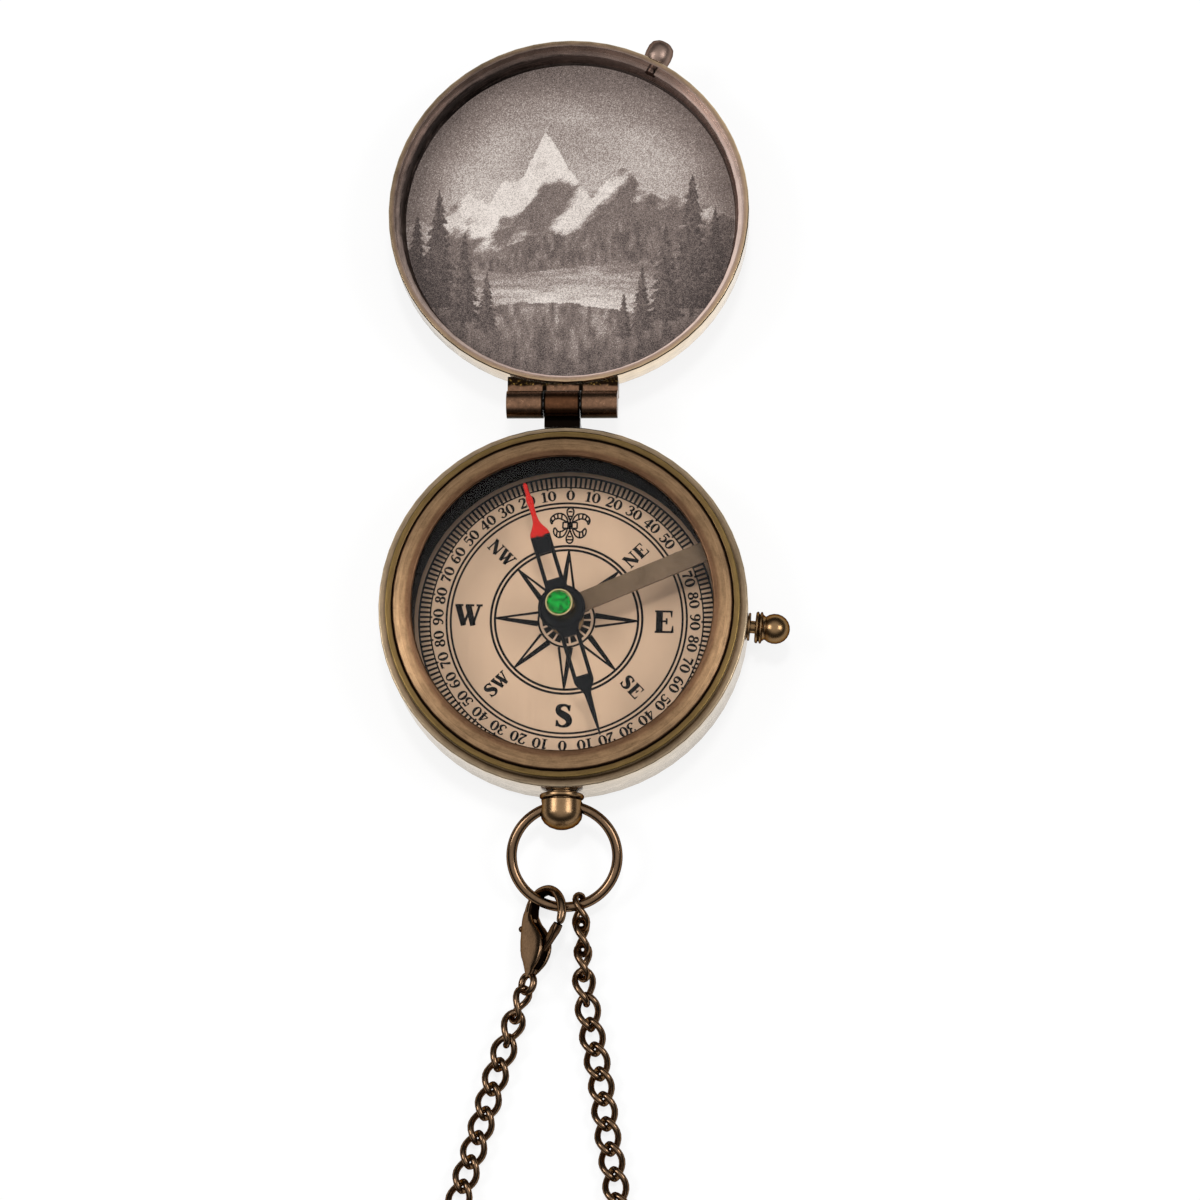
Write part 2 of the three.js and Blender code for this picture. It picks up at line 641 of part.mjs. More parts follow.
function lidPeg() {
  const seat = CASE_RADIUS + SEAT;
  const dome = seat + PEG_LENGTH - PEG_RADIUS * 0.7;
  return turned([
    [0, LID_INNER + SLIP],
    [PEG_TENON_RADIUS, LID_INNER + SLIP],
    [PEG_TENON_RADIUS, seat],
    [PEG_RADIUS - PEG_NECK, seat],
    [PEG_RADIUS - PEG_NECK, seat + PEG_NECK * 2],
    [PEG_RADIUS, seat + PEG_NECK * 3],
    [PEG_RADIUS, dome],
    [PEG_RADIUS * 0.86, dome + PEG_RADIUS * 0.36],
    [PEG_RADIUS * 0.5, dome + PEG_RADIUS * 0.61],
    [0, dome + PEG_RADIUS * 0.7],
  ], SMALL_STEPS);
}

// Hinge: a knuckle that runs into a strap soldered to the wall behind it.
// The profile lies in a plane across the axis, with x towards the wall and y up.

function knuckleShape(strap) {
  const face = HINGE_STAND - SLIP;
  const back = face - LEAF_THICKNESS;
  const top = Math.asin(-LEAF_TOP / KNUCKLE_RADIUS);
  const under = radians(-70);
  const shape = new THREE.Shape();
  shape.absarc(0, 0, KNUCKLE_RADIUS, top, under + 2 * Math.PI, false);
  shape.lineTo(back, -KNUCKLE_RADIUS - LEAF_THICKNESS / 2);
  shape.lineTo(back, -strap);
  shape.lineTo(face, -strap);
  shape.lineTo(face, -LEAF_TOP);
  shape.closePath();
  const bore = new THREE.Path();
  bore.absarc(0, 0, HINGE_PIN_RADIUS + RUNNING, 0, 2 * Math.PI, true);
  shape.holes.push(bore);
  return shape;
}

// Extrudes a knuckle along X from one place to another, its strap towards side -1 or +1 in Y
function knuckle(from, to, side) {
  const turn = new THREE.Matrix4().makeBasis(
    new THREE.Vector3(0, side, 0), new THREE.Vector3(0, 0, 1), new THREE.Vector3(side, 0, 0));
  const block = slab(knuckleShape(LEAF_HEIGHT), to - from, 10).applyMatrix4(turn);
  return block.translate((side > 0 ? from : to) + HINGE_SHIFT, HINGE_Y, HINGE_Z);
}

function caseHingeLeaf() {
  return knuckle(-CENTRE_KNUCKLE / 2, CENTRE_KNUCKLE / 2, -1);
}

// Two knuckles on one strap, cut to the lid's round wall and notched for the middle knuckle
function lidHingeLeaf() {
  const inner = CENTRE_KNUCKLE / 2 + KNUCKLE_GAP;
  const outer = inner + SIDE_KNUCKLE;
  const face = HINGE_STAND + LEAF_THICKNESS;
  const strap = new THREE.BoxGeometry(2 * outer, LEAF_THICKNESS * 2, LEAF_HEIGHT - LEAF_TOP)
    .translate(HINGE_SHIFT, HINGE_Y + face - LEAF_THICKNESS, HINGE_Z - (LEAF_HEIGHT + LEAF_TOP) / 2);
  const wall = rod(CASE_RADIUS + SLIP, -CASE_HEIGHT, CASE_HEIGHT, ROUND_STEPS)
    .translate(0, 2 * HINGE_Y, HINGE_Z);
  const notch = rod(KNUCKLE_RADIUS + LID_CLEARANCE, -inner, inner)
    .rotateY(Math.PI / 2).translate(HINGE_SHIFT, HINGE_Y, HINGE_Z);
  const leaf = solid(strap)
    .add(solid(knuckle(-outer, -inner, 1)))
    .add(solid(knuckle(inner, outer, 1)))
    .subtract(solid(wall))
    .subtract(solid(notch));
  return geometryOf(leaf);
}

function hingePin() {
  const reach = CENTRE_KNUCKLE / 2 + KNUCKLE_GAP + SIDE_KNUCKLE;
  return rod(HINGE_PIN_RADIUS, -reach, reach).rotateY(Math.PI / 2).translate(HINGE_SHIFT, HINGE_Y, HINGE_Z);
}

// Pendant stud, turned about its own axis, with a cross hole that flares towards both mouths

function pendantStud() {
  const end = STUD_HEAD_Y + STUD_HEAD_LENGTH;
  const dome = STUD_HEAD_RADIUS * 0.75;
  const body = turned([
    [0, CASE_BORE + SLIP],
    [STUD_TENON_RADIUS, CASE_BORE + SLIP],
    [STUD_TENON_RADIUS, CASE_RADIUS + SEAT],
    [STUD_NECK_RADIUS, CASE_RADIUS + SEAT],
    [STUD_NECK_RADIUS, STUD_COLLAR_Y],
    [STUD_COLLAR_RADIUS - EDGE_BREAK, STUD_COLLAR_Y],
    [STUD_COLLAR_RADIUS, STUD_COLLAR_Y + EDGE_BREAK],
    [STUD_COLLAR_RADIUS, STUD_COLLAR_Y + STUD_COLLAR - EDGE_BREAK],
    [STUD_COLLAR_RADIUS - EDGE_BREAK, STUD_COLLAR_Y + STUD_COLLAR],
    [STUD_NECK_RADIUS, STUD_COLLAR_Y + STUD_COLLAR],
    [STUD_NECK_RADIUS, STUD_HEAD_Y],
    [STUD_HEAD_RADIUS - EDGE_BREAK, STUD_HEAD_Y],
    [STUD_HEAD_RADIUS, STUD_HEAD_Y + EDGE_BREAK],
    ...arc(0, 0, 1, 0, 90, 5).map(([c, s]) => [STUD_HEAD_RADIUS * c, end - dome + dome * s]),
  ], SMALL_STEPS + 4);
  const hole = BOW_WIRE_RADIUS + BOW_SAG + BOW_CLEARANCE;
  const bore = rod(hole, -CASE_RADIUS, CASE_RADIUS).rotateY(Math.PI / 2).translate(0, 0, STUD_HOLE_Y);
  return geometryOf(solid(body).subtract(solid(bore)));
}

// Bow ring, in a frame at the cross hole with +Y back along the ring's plane

function bowRing() {
  return new THREE.TorusGeometry(BOW_RADIUS, BOW_WIRE_RADIUS, 8, 40).translate(0, BOW_SAG - BOW_RADIUS, 0);
}

function bowFrame() {
  const frame = new THREE.Group();
  frame.position.set(0, -STUD_HOLE_Y, STUD_Z);
  frame.rotation.x = radians(BOW_TILT);
  frame.updateMatrix();
  return frame;
}

// A point on the bow's centre line, at an angle from its lowest point
function bowPoint(angle) {
  const turn = radians(angle);
  return new THREE.Vector3(
    BOW_RADIUS * Math.sin(turn), BOW_SAG - BOW_RADIUS - BOW_RADIUS * Math.cos(turn), 0,
  ).applyMatrix4(bowFrame().matrix);
}

// Lobster clasp, drawn flat with its tail ring at the origin and its hook towards +Y

function claspFrame() {
  const frame = new THREE.Group();
  const turn = new THREE.Quaternion().setFromAxisAngle(new THREE.Vector3(0, 0, 1), -radians(CLASP_HEADING));
  const roll = new THREE.Quaternion().setFromAxisAngle(new THREE.Vector3(0, 1, 0), -radians(CLASP_ROLL));
  frame.quaternion.copy(turn.multiply(roll));
  const seat = new THREE.Vector3(CLASP_SEAT, HOOK_RISE + HOOK_RADIUS - HOOK_WIRE_RADIUS - BOW_WIRE_RADIUS, 0);
  seat.y -= BOW_SAG;
  frame.position.copy(bowPoint(CLASP_ANGLE)).sub(seat.applyQuaternion(frame.quaternion));
  frame.updateMatrix();
  return frame;
}

function claspLeaf() {
  const shape = new THREE.Shape();
  const waist = TAIL_RING_RADIUS * 0.85;
  const armInside = HOOK_SIDE - HOOK_RADIUS + HOOK_WIRE_RADIUS;
  const armOutside = HOOK_SIDE - HOOK_RADIUS - HOOK_WIRE_RADIUS;
  const shoulder = HOOK_RISE - CLASP_BEVEL;
  const knee = GATE_RISE + GATE_EYE_RADIUS;
  const start = radians(148);
  shape.absarc(0, 0, TAIL_RING_RADIUS, start, radians(392), false);
  shape.bezierCurveTo(waist, SLOT_LOW, GATE_SIDE + 2 * GATE_EYE_RADIUS, SLOT_LOW, GATE_SIDE + GATE_EYE_RADIUS, knee);
  shape.lineTo(GATE_SIDE, knee + GATE_EYE_RADIUS);
  shape.bezierCurveTo(HOOK_SIDE, knee, armInside, SLOT_HIGH - 1, armInside, shoulder);
  shape.lineTo(armOutside, shoulder);
  shape.bezierCurveTo(-BODY_WIDTH - CLASP_BEVEL, SLOT_HIGH - 1, -BODY_WIDTH, GATE_RISE,
    TAIL_RING_RADIUS * Math.cos(start), TAIL_RING_RADIUS * Math.sin(start));
  return shape;
}

// A round rod along a curve, thinner towards its end over a share of its length
function taperedRod(curve, steps, sides, radius, endRadius, share) {
  const frames = curve.computeFrenetFrames(steps, false);
  const positions = [];
  const faces = [];
  for (let i = 0; i <= steps; i += 1) {
    const centre = curve.getPointAt(i / steps);
    const taper = THREE.MathUtils.smoothstep(i / steps, 1 - share, 1);
    const size = THREE.MathUtils.lerp(radius, endRadius, taper);
    for (let j = 0; j < sides; j += 1) {
      const angle = 2 * Math.PI * j / sides;
      const point = centre.clone()
        .addScaledVector(frames.normals[i], size * Math.cos(angle))
        .addScaledVector(frames.binormals[i], size * Math.sin(angle));
      positions.push(...point.toArray());
      const next = (j + 1) % sides;
      const [a, b] = [i * sides + j, i * sides + next];
      if (i < steps) faces.push(a, b, b + sides, a, b + sides, a + sides);
      if (j > 0 && j < sides - 1) {
        if (i === 0) faces.push(0, next, j);
        if (i === steps) faces.push(steps * sides, a, b);
      }
    }
  }
  const geometry = new THREE.BufferGeometry();
  geometry.setAttribute('position', new THREE.Float32BufferAttribute(positions, 3));
  geometry.setIndex(faces);
  return geometry;
}

function claspHook() {
  const side = HOOK_SIDE - HOOK_RADIUS;
  const points = [new THREE.Vector3(side, (SLOT_HIGH + HOOK_RISE) / 2, 0)];
  for (let angle = 180; angle >= 0; angle -= 22.5) {
    points.push(new THREE.Vector3(
      HOOK_SIDE + HOOK_RADIUS * Math.cos(radians(angle)), HOOK_RISE + HOOK_RADIUS * Math.sin(radians(angle)), 0));
  }
  points.push(new THREE.Vector3(HOOK_SIDE + HOOK_RADIUS - CLASP_BEVEL / 2, HOOK_RISE - HOOK_TIP, 0));
  const tip = 2 * HOOK_TIP / (HOOK_TIP + Math.PI * HOOK_RADIUS);
  return taperedRod(new THREE.CatmullRomCurve3(points), 16, 8, HOOK_WIRE_RADIUS, HOOK_TIP_RADIUS, tip);
}

// What is milled off one side of the body to thin its tail ring
function tailCut(side) {
  const far = -2 * TAIL_RING_RADIUS;
  const ramp = TAIL_RING_RADIUS + TAIL_RAMP;
  const low = TAIL_THICKNESS / 2;
  const high = CLASP_THICKNESS;
  const shape = polygon([[far, low], [TAIL_RING_RADIUS, low], [ramp, CLASP_THICKNESS / 2], [ramp, high], [far, high]]);
  return crosswise(shape, side);
}

// Extrudes a shape drawn along the clasp and up from its middle plane, across its whole width
function crosswise(shape, side) {
  const turn = new THREE.Matrix4().makeBasis(
    new THREE.Vector3(0, 1, 0), new THREE.Vector3(0, 0, side), new THREE.Vector3(side, 0, 0));
  const width = 8 * TAIL_RING_RADIUS;
  return slab(shape, width).applyMatrix4(turn).translate(-side * width / 2, 0, 0);
}

// What is milled off one side of the body so that its arm runs into the round hook
function armCut(side) {
  const top = HOOK_RISE + HOOK_RADIUS;
  const high = CLASP_THICKNESS;
  const low = HOOK_WIRE_RADIUS - CLASP_BEVEL / 2;
  const shape = polygon([[SLOT_HIGH, CLASP_THICKNESS / 2], [HOOK_RISE, low], [top, low], [top, high], [SLOT_HIGH, high]]);
  return crosswise(shape, side);
}

function claspBody() {
  const leaf = new THREE.ExtrudeGeometry(claspLeaf(), {
    depth: CLASP_THICKNESS - 2 * CLASP_BEVEL, curveSegments: 7,
    bevelThickness: CLASP_BEVEL, bevelSize: CLASP_BEVEL, bevelOffset: -CLASP_BEVEL, bevelSegments: 2,
  }).translate(0, 0, CLASP_BEVEL - CLASP_THICKNESS / 2);
  const wide = 4 * TAIL_RING_RADIUS;
  const slot = new THREE.BoxGeometry(2 * wide, SLOT_HIGH - SLOT_LOW, CLASP_SLOT)
    .translate(0, (SLOT_HIGH + SLOT_LOW) / 2, 0);
  const tailHole = rod(TAIL_HOLE_RADIUS, -CLASP_THICKNESS, CLASP_THICKNESS);
  const rivetHole = rod(RIVET_RADIUS + SLIP, -CLASP_THICKNESS, CLASP_THICKNESS).translate(GATE_SIDE, GATE_RISE, 0);
  let body = solid(leaf);
  for (const cut of [slot, tailHole, rivetHole, tailCut(1), tailCut(-1), armCut(1), armCut(-1)]) {
    body = body.subtract(solid(cut));
  }
  return geometryOf(body.add(solid(claspHook())));
}

// The gate's tip meets the hook's tip, and its tab comes out of the other side of the body
function claspGate() {
  const tipSide = HOOK_SIDE + HOOK_RADIUS - CLASP_BEVEL / 2 - GATE_SIDE;
  const tipRise = HOOK_RISE - HOOK_TIP - GATE_RISE;
  const reach = Math.hypot(tipSide - HOOK_TIP_RADIUS, tipRise) - GATE_GAP;
  const tip = Math.atan2(tipRise, tipSide);
  const tipCorner = (angle) => [GATE_SIDE + reach * Math.cos(angle), GATE_RISE + reach * Math.sin(angle)];
  const shape = polygon([
    [GATE_SIDE + GATE_EYE_RADIUS, GATE_RISE],
    tipCorner(tip - radians(GATE_SPREAD)),
    tipCorner(tip),
    [GATE_SIDE, GATE_RISE + GATE_EYE_RADIUS],
    [-TAB_REACH, TAB_RISE + GATE_WIDTH / 2],
    [-TAB_REACH, TAB_RISE - GATE_WIDTH / 2],
    [GATE_SIDE - GATE_EYE_RADIUS, GATE_RISE - GATE_EYE_RADIUS / 2],
    [GATE_SIDE, GATE_RISE - GATE_EYE_RADIUS],
  ]);
  const bore = new THREE.Path();
  bore.absarc(GATE_SIDE, GATE_RISE, RIVET_RADIUS + RUNNING, 0, 2 * Math.PI, true);
  shape.holes.push(bore);
  return slab(shape, GATE_THICKNESS).translate(0, 0, SLIP - CLASP_SLOT / 2);
}

function claspRivet() {
  const face = CLASP_THICKNESS / 2 + SEAT;
  const end = face + RIVET_HEAD;
  return turned([
    [0, -end],
    [RIVET_HEAD_RADIUS * 0.7, -end],
    [RIVET_HEAD_RADIUS, -face],
    [RIVET_RADIUS, -face],
    [RIVET_RADIUS, face],
    [RIVET_HEAD_RADIUS, face],
    [RIVET_HEAD_RADIUS * 0.7, end],
    [0, end],
  ], 16).translate(GATE_SIDE, GATE_RISE, 0);
}

// A torsion spring round the rivet, beside the gate
function claspSpring() {
  const radius = RIVET_RADIUS + SLIP + SPRING_WIRE_RADIUS;
  const low = SLIP - CLASP_SLOT / 2 + GATE_THICKNESS + SLIP / 2 + SPRING_WIRE_RADIUS;
  const rise = CLASP_SLOT / 2 - SLIP / 2 - SPRING_WIRE_RADIUS - low;
  const points = [];
  const count = 20;
  for (let i = 0; i <= count; i += 1) {
    const angle = 2 * Math.PI * SPRING_TURNS * i / count;
    points.push(new THREE.Vector3(
      GATE_SIDE + radius * Math.cos(angle), GATE_RISE + radius * Math.sin(angle), low + rise * i / count));
  }
  const section = new THREE.Shape().absarc(0, 0, SPRING_WIRE_RADIUS, 0, 2 * Math.PI, false);
  return new THREE.ExtrudeGeometry(section, {
    steps: count, curveSegments: 3, bevelEnabled: false, extrudePath: new THREE.CatmullRomCurve3(points),
  });
}

// Curb link: an oval whose plane turns along its length, so that all links lie flat

class CurbLoop extends THREE.Curve {
  getPoint(t, target = new THREE.Vector3()) {
    const along = (LINK_LENGTH / 2 - LINK_WIRE_RADIUS) * Math.cos(2 * Math.PI * t);
    const across = (LINK_WIDTH / 2 - LINK_WIRE_RADIUS) * Math.sin(2 * Math.PI * t);
    const twist = -radians(LINK_TWIST) * Math.cos(2 * Math.PI * t);
    return target.set(along, across * Math.cos(twist), across * Math.sin(twist));
  }
}

function chainLink() {
  return new THREE.TubeGeometry(new CurbLoop(), 16, LINK_WIRE_RADIUS, WIRE_SIDES, true);
}

// Places links along a route at the chain's pitch, the first at a given distance from its start
function chainStrand(parent, name, route, first, count, rolls) {
  const length = route.getLength();
  for (let i = 0; i < count; i += 1) {
    const share = (first + i * LINK_PITCH) / length;
    const along = route.getTangentAt(share);
    const side = new THREE.Vector3(0, 0, 1).cross(along).normalize();
    const up = along.clone().cross(side);
    const link = new THREE.Group();
    link.quaternion.setFromRotationMatrix(new THREE.Matrix4().makeBasis(along, side, up));
    link.rotateX(radians(rolls[Math.min(i, rolls.length - 1)]));
    link.position.copy(route.getPointAt(share));
    piece(link, `${name}_${i + 1}`, chainLink(), CHAIN_BRASS);
    parent.add(link);
  }
}

function strandRoute(start, points) {
  return new THREE.CatmullRomCurve3([start, ...points.map((p) => new THREE.Vector3(...p))]);
}

// The put-away length: a coil of one and a half turns that winds in, climbs a layer and winds out
function coilRoute() {
  const points = COIL_LEAD_IN.map((p) => new THREE.Vector3(...p));
  const low = COIL_TUBE_RADIUS + SEAT;
  const [from, to, step] = [192, 708, 12];
  const middle = (from + to) / 2;
  for (let angle = from; angle <= to; angle += step) {
    const inward = COIL_STEP * ((to - from) / 2 - Math.abs(angle - middle)) / 360;
    const radius = COIL_RADIUS - inward;
    const climb = THREE.MathUtils.smoothstep(angle, middle - 90, middle + 90);
    points.push(new THREE.Vector3(
      COIL_CENTRE[0] + radius * Math.cos(radians(angle)),
      COIL_CENTRE[1] + radius * Math.sin(radians(angle)),
      low + COIL_LAYER * climb));
  }
  points.push(...COIL_LEAD_OUT.map((p) => new THREE.Vector3(...p)));
  return points;
}

function chainCoil(leftRoute, leftEnd, rightRoute, rightEnd) {
  const rest = (route, end) => route.getPointAt(Math.min((end + COIL_END_GAP) / route.getLength(), 1));
  const ends = [rest(leftRoute, leftEnd), rest(rightRoute, rightEnd)];
  for (const end of ends) end.z = Math.max(end.z, COIL_TUBE_RADIUS + SEAT);
  const path = new THREE.CatmullRomCurve3([ends[0], ...coilRoute(), ends[1]]);
  reportGap(path);
  const section = new THREE.Shape().absarc(0, 0, COIL_TUBE_RADIUS, 0, 2 * Math.PI, false);
  return new THREE.ExtrudeGeometry(section, {
    steps: 54, curveSegments: WIRE_SIDES / 2, bevelEnabled: false, extrudePath: path,
  });
}

// Prints the least gap between stretches of the coil that lie more than a few diameters apart along it
function reportGap(path) {
  const points = path.getSpacedPoints(400);
  const spacing = path.getLength() / 400;
  const apart = Math.ceil(6 * COIL_TUBE_RADIUS / spacing);
  let least = Infinity;
  for (let i = 0; i < points.length; i += 1) {
    for (let j = i + apart; j < points.length; j += 1) least = Math.min(least, points[i].distanceTo(points[j]));
  }
  console.log(`chain_coil: length ${path.getLength().toFixed(1)} mm, least gap ${(least - 2 * COIL_TUBE_RADIUS).toFixed(2)} mm`);
}

// Assembly

const compass = new THREE.Group();

function addCase() {
  piece(compass, 'case_shell', caseShell(), ANTIQUE_BRASS);
  piece(compass, 'dial_plate', dialPlate(), DIAL_COPPER);
  piece(compass, 'spacer_sleeve', spacerSleeve(), ANTIQUE_BRASS);
  piece(compass, 'crystal', crystal(), CLEAR_GLASS);
  piece(compass, 'bezel_ring', bezelRing(), ANTIQUE_BRASS);
  piece(compass, 'pivot_post', pivotPost(), PIN_STEEL);
  piece(compass, 'case_hinge_leaf', caseHingeLeaf(), ANTIQUE_BRASS);
  piece(compass, 'hinge_pin', hingePin(), PIN_STEEL);
  const stud = radialFrame(180, STUD_Z);
  piece(stud, 'pendant_stud', pendantStud(), ANTIQUE_BRASS);
  compass.add(stud);
}

function addNeedle() {
  piece(compass, 'needle_arm', needleArm(), BLACK_STEEL);
  piece(compass, 'needle_cap', needleCap(), BRIGHT_BRASS);
  piece(compass, 'needle_jewel', needleJewel(), GREEN_STONE);
}

function addStop() {
  const knob = radialFrame(KNOB_AZIMUTH, KNOB_Z);
  piece(knob, 'knob_bush', knobBush(), ANTIQUE_BRASS);
  piece(knob, 'stop_knob', stopKnob(), ANTIQUE_BRASS);
  piece(knob, 'knob_clip', knobClip(), PIN_STEEL);
  const lever = new THREE.Group();
  lever.rotation.z = -radians(LEVER_AZIMUTH);
  piece(lever, 'stop_lever', stopLever(), ANTIQUE_BRASS);
  piece(lever, 'lever_pin', leverPin(), PIN_STEEL);
  piece(lever, 'lever_bracket', leverBracket(), ANTIQUE_BRASS);
  compass.add(knob, lever);
}

function addLid() {
  const lid = new THREE.Group();
  lid.position.set(0, 2 * HINGE_Y, LID_Z);
  piece(lid, 'lid_shell', lidShell(), ANTIQUE_BRASS);
  piece(lid, 'picture_plate', picturePlate(), PLATE_SEPIA);
  const peg = radialFrame(PEG_AZIMUTH, -PEG_DROP);
  piece(peg, 'lid_peg', lidPeg(), ANTIQUE_BRASS);
  lid.add(peg);
  compass.add(lid);
  piece(compass, 'lid_hinge_leaf', lidHingeLeaf(), ANTIQUE_BRASS);
}

function addBowAndChain() {
  const bow = bowFrame();
  piece(bow, 'bow_ring', bowRing(), CHAIN_BRASS);
  const clasp = claspFrame();
  piece(clasp, 'clasp_body', claspBody(), CHAIN_BRASS);
  piece(clasp, 'clasp_gate', claspGate(), CHAIN_BRASS);
  piece(clasp, 'clasp_rivet', claspRivet(), CHAIN_BRASS);
  piece(clasp, 'clasp_spring', claspSpring(), PIN_STEEL);
  compass.add(bow, clasp);

  const linkReach = LINK_LENGTH / 2 - LINK_WIRE_RADIUS;
  const leftFirst = linkReach;
  const rightFirst = linkReach - LINK_WIRE_RADIUS - BOW_WIRE_RADIUS - BOW_LINK_SLACK;
  const leftRoute = strandRoute(clasp.position, LEFT_ROUTE);
  const rightRoute = strandRoute(bowPoint(BOW_LINK_ANGLE), RIGHT_ROUTE);
  chainStrand(compass, 'chain_link_left', leftRoute, leftFirst, LEFT_LINKS, LEFT_ROLLS);
  chainStrand(compass, 'chain_link_right', rightRoute, rightFirst, RIGHT_LINKS, RIGHT_ROLLS);
  const leftEnd = leftFirst + (LEFT_LINKS - 1) * LINK_PITCH + LINK_LENGTH / 2;
  const rightEnd = rightFirst + (RIGHT_LINKS - 1) * LINK_PITCH + LINK_LENGTH / 2;
  piece(compass, 'chain_coil', chainCoil(leftRoute, leftEnd, rightRoute, rightEnd), CHAIN_BRASS);
}

addCase();
addNeedle();
addStop();
addLid();
addBowAndChain();

export default compass;
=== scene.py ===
"""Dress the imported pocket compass: studio, chain, dial print, lid engraving, needle and metal finishes."""

import json
import math

import bmesh
import bpy
import numpy as np
from bpy.props import FloatProperty, FloatVectorProperty, IntProperty, PointerProperty
from mathutils import Matrix, Vector

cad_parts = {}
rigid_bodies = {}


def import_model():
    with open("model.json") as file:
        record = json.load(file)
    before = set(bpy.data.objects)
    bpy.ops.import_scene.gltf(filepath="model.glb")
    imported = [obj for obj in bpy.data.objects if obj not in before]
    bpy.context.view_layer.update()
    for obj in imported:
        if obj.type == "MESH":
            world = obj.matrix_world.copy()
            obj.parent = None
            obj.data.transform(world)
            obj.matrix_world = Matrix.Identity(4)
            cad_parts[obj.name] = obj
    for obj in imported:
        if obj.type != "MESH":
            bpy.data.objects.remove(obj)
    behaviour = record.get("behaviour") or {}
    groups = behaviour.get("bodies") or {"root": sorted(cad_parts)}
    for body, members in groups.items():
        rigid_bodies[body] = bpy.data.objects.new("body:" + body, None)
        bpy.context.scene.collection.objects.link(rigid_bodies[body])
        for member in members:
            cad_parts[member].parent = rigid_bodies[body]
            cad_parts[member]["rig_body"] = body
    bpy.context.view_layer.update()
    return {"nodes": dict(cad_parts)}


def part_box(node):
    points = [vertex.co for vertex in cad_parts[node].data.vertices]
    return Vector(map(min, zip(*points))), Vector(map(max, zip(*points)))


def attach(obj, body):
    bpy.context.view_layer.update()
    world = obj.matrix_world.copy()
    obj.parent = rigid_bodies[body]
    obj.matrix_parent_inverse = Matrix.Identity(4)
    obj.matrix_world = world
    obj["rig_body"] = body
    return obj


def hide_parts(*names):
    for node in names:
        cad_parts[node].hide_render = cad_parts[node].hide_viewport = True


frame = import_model()

bl_info = {
    "name": "Pocket compass dressing",
    "version": (1, 0, 0),
    "blender": (4, 5, 0),
    "location": "View3D > Sidebar > Compass",
    "description": "Builds the looks of a lidded pocket compass around its packed solids",
    "category": "Object",
}

MM = 0.001
FULL_TURN = 2 * math.pi
NODES = frame["nodes"]


def linear(code):
    """Linear colour, with full alpha, of an sRGB hex value such as #B08D57."""
    parts = [int(code[i : i + 2], 16) / 255 for i in (1, 3, 5)]
    return tuple(c / 12.92 if c <= 0.04045 else ((c + 0.055) / 1.055) ** 2.4 for c in parts) + (1.0,)


def colour_property(name, code, description):
    """A colour that a user may change, whose default is a hex value."""
    return FloatVectorProperty(
        name=name, description=description, size=4, subtype="COLOR", min=0, max=1, default=linear(code)
    )


# ---------------------------------------------------------------------------
# Places shared by several pieces, in mm

LID_CENTRE = (0.0, 56.3)
DIAL_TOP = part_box("dial_plate")[1].z / MM
PLATE_NEAR, PLATE_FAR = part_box("picture_plate")
PLATE_LOW, PLATE_TOP = PLATE_NEAR.z / MM, PLATE_FAR.z / MM
PLATE_RADIUS = (PLATE_FAR.x - PLATE_NEAR.x) / 2 / MM
NEEDLE_AZIMUTH = math.radians(-17.1)
NEEDLE_AXES = np.array((
    (math.cos(NEEDLE_AZIMUTH), -math.sin(NEEDLE_AZIMUTH), 0),
    (math.sin(NEEDLE_AZIMUTH), math.cos(NEEDLE_AZIMUTH), 0), (0, 0, 1),
))
NEEDLE_OFFSET, NEEDLE_LEVEL = -0.2, 9.12
NEEDLE_PLACE = NEEDLE_OFFSET * NEEDLE_AXES[0] + (0, 0, NEEDLE_LEVEL)
# Bars of the needle as stations: distance from the hub and half-width. Rails: distance and offset at each end
NORTH_TIP = (
    (9.9, 1.36), (10.5, 1.38), (11.1, 1.2), (11.8, 0.78), (12.4, 0.5), (13.2, 0.38), (14.6, 0.38),
    (15.4, 0.48), (15.9, 0.46), (16.6, 0.3), (17.9, 0.27), (18.15, 0.1),
)
SOUTH_TIP = (
    (-9.85, 1.32), (-10.6, 1.36), (-11.2, 1.15), (-11.9, 0.7), (-12.4, 0.52), (-13.5, 0.42), (-15.0, 0.34),
    (-16.5, 0.24), (-18.3, 0.1),
)
NORTH_WEB = ((10.2, 1.05), (9.4, 1.05), (8.7, 1.05), (8.0, 1.05))
NECKS = ((4.1, 1.36), (3.3, 1.42), (2.4, 1.75), (0.0, 2.2), (-2.4, 1.8), (-3.4, 1.4), (-4.2, 1.34))
RAILS = ((10.4, 1.1, 3.4, 1.12), (-3.6, 1.08, -10.3, 1.08))
# Turned outlines as radius and height: the needle's hub and the cap's cup. Each is set off the axis by its
# lean, which comes in over its rise.
HUB_OUTLINE = (
    (0.9, 8.8), (3.05, 8.8), (3.2, 8.87), (3.22, 9.02), (3.0, 9.1), (2.97, 9.4), (2.75, 9.57), (2.3, 9.6),
    (2.05, 9.52), (1.9, 9.36), (0.9, 9.3),
)
HUB_LEAN, HUB_RISE = (-0.22, -0.05), (7, 8)
CAP_OUTLINE = (
    (1.0, 9.2), (1.98, 9.2), (2.02, 9.4), (1.96, 9.9), (1.94, 10.3), (1.91, 10.46), (1.84, 10.52),
    (1.67, 10.52), (1.61, 10.46), (1.59, 10.3), (1.0, 10.2),
)
CAP_LEAN, CAP_RISE = (-0.5, 0.35), (9.2, 10.5)
# The stone's rings of corners as radius, height and turn in steps
STONE_ROWS = ((1.0, 10.2, 0), (1.58, 10.28, 0), (1.5, 10.5, 0.5), (1.2, 10.63, 0), (0.75, 10.72, 0.5))
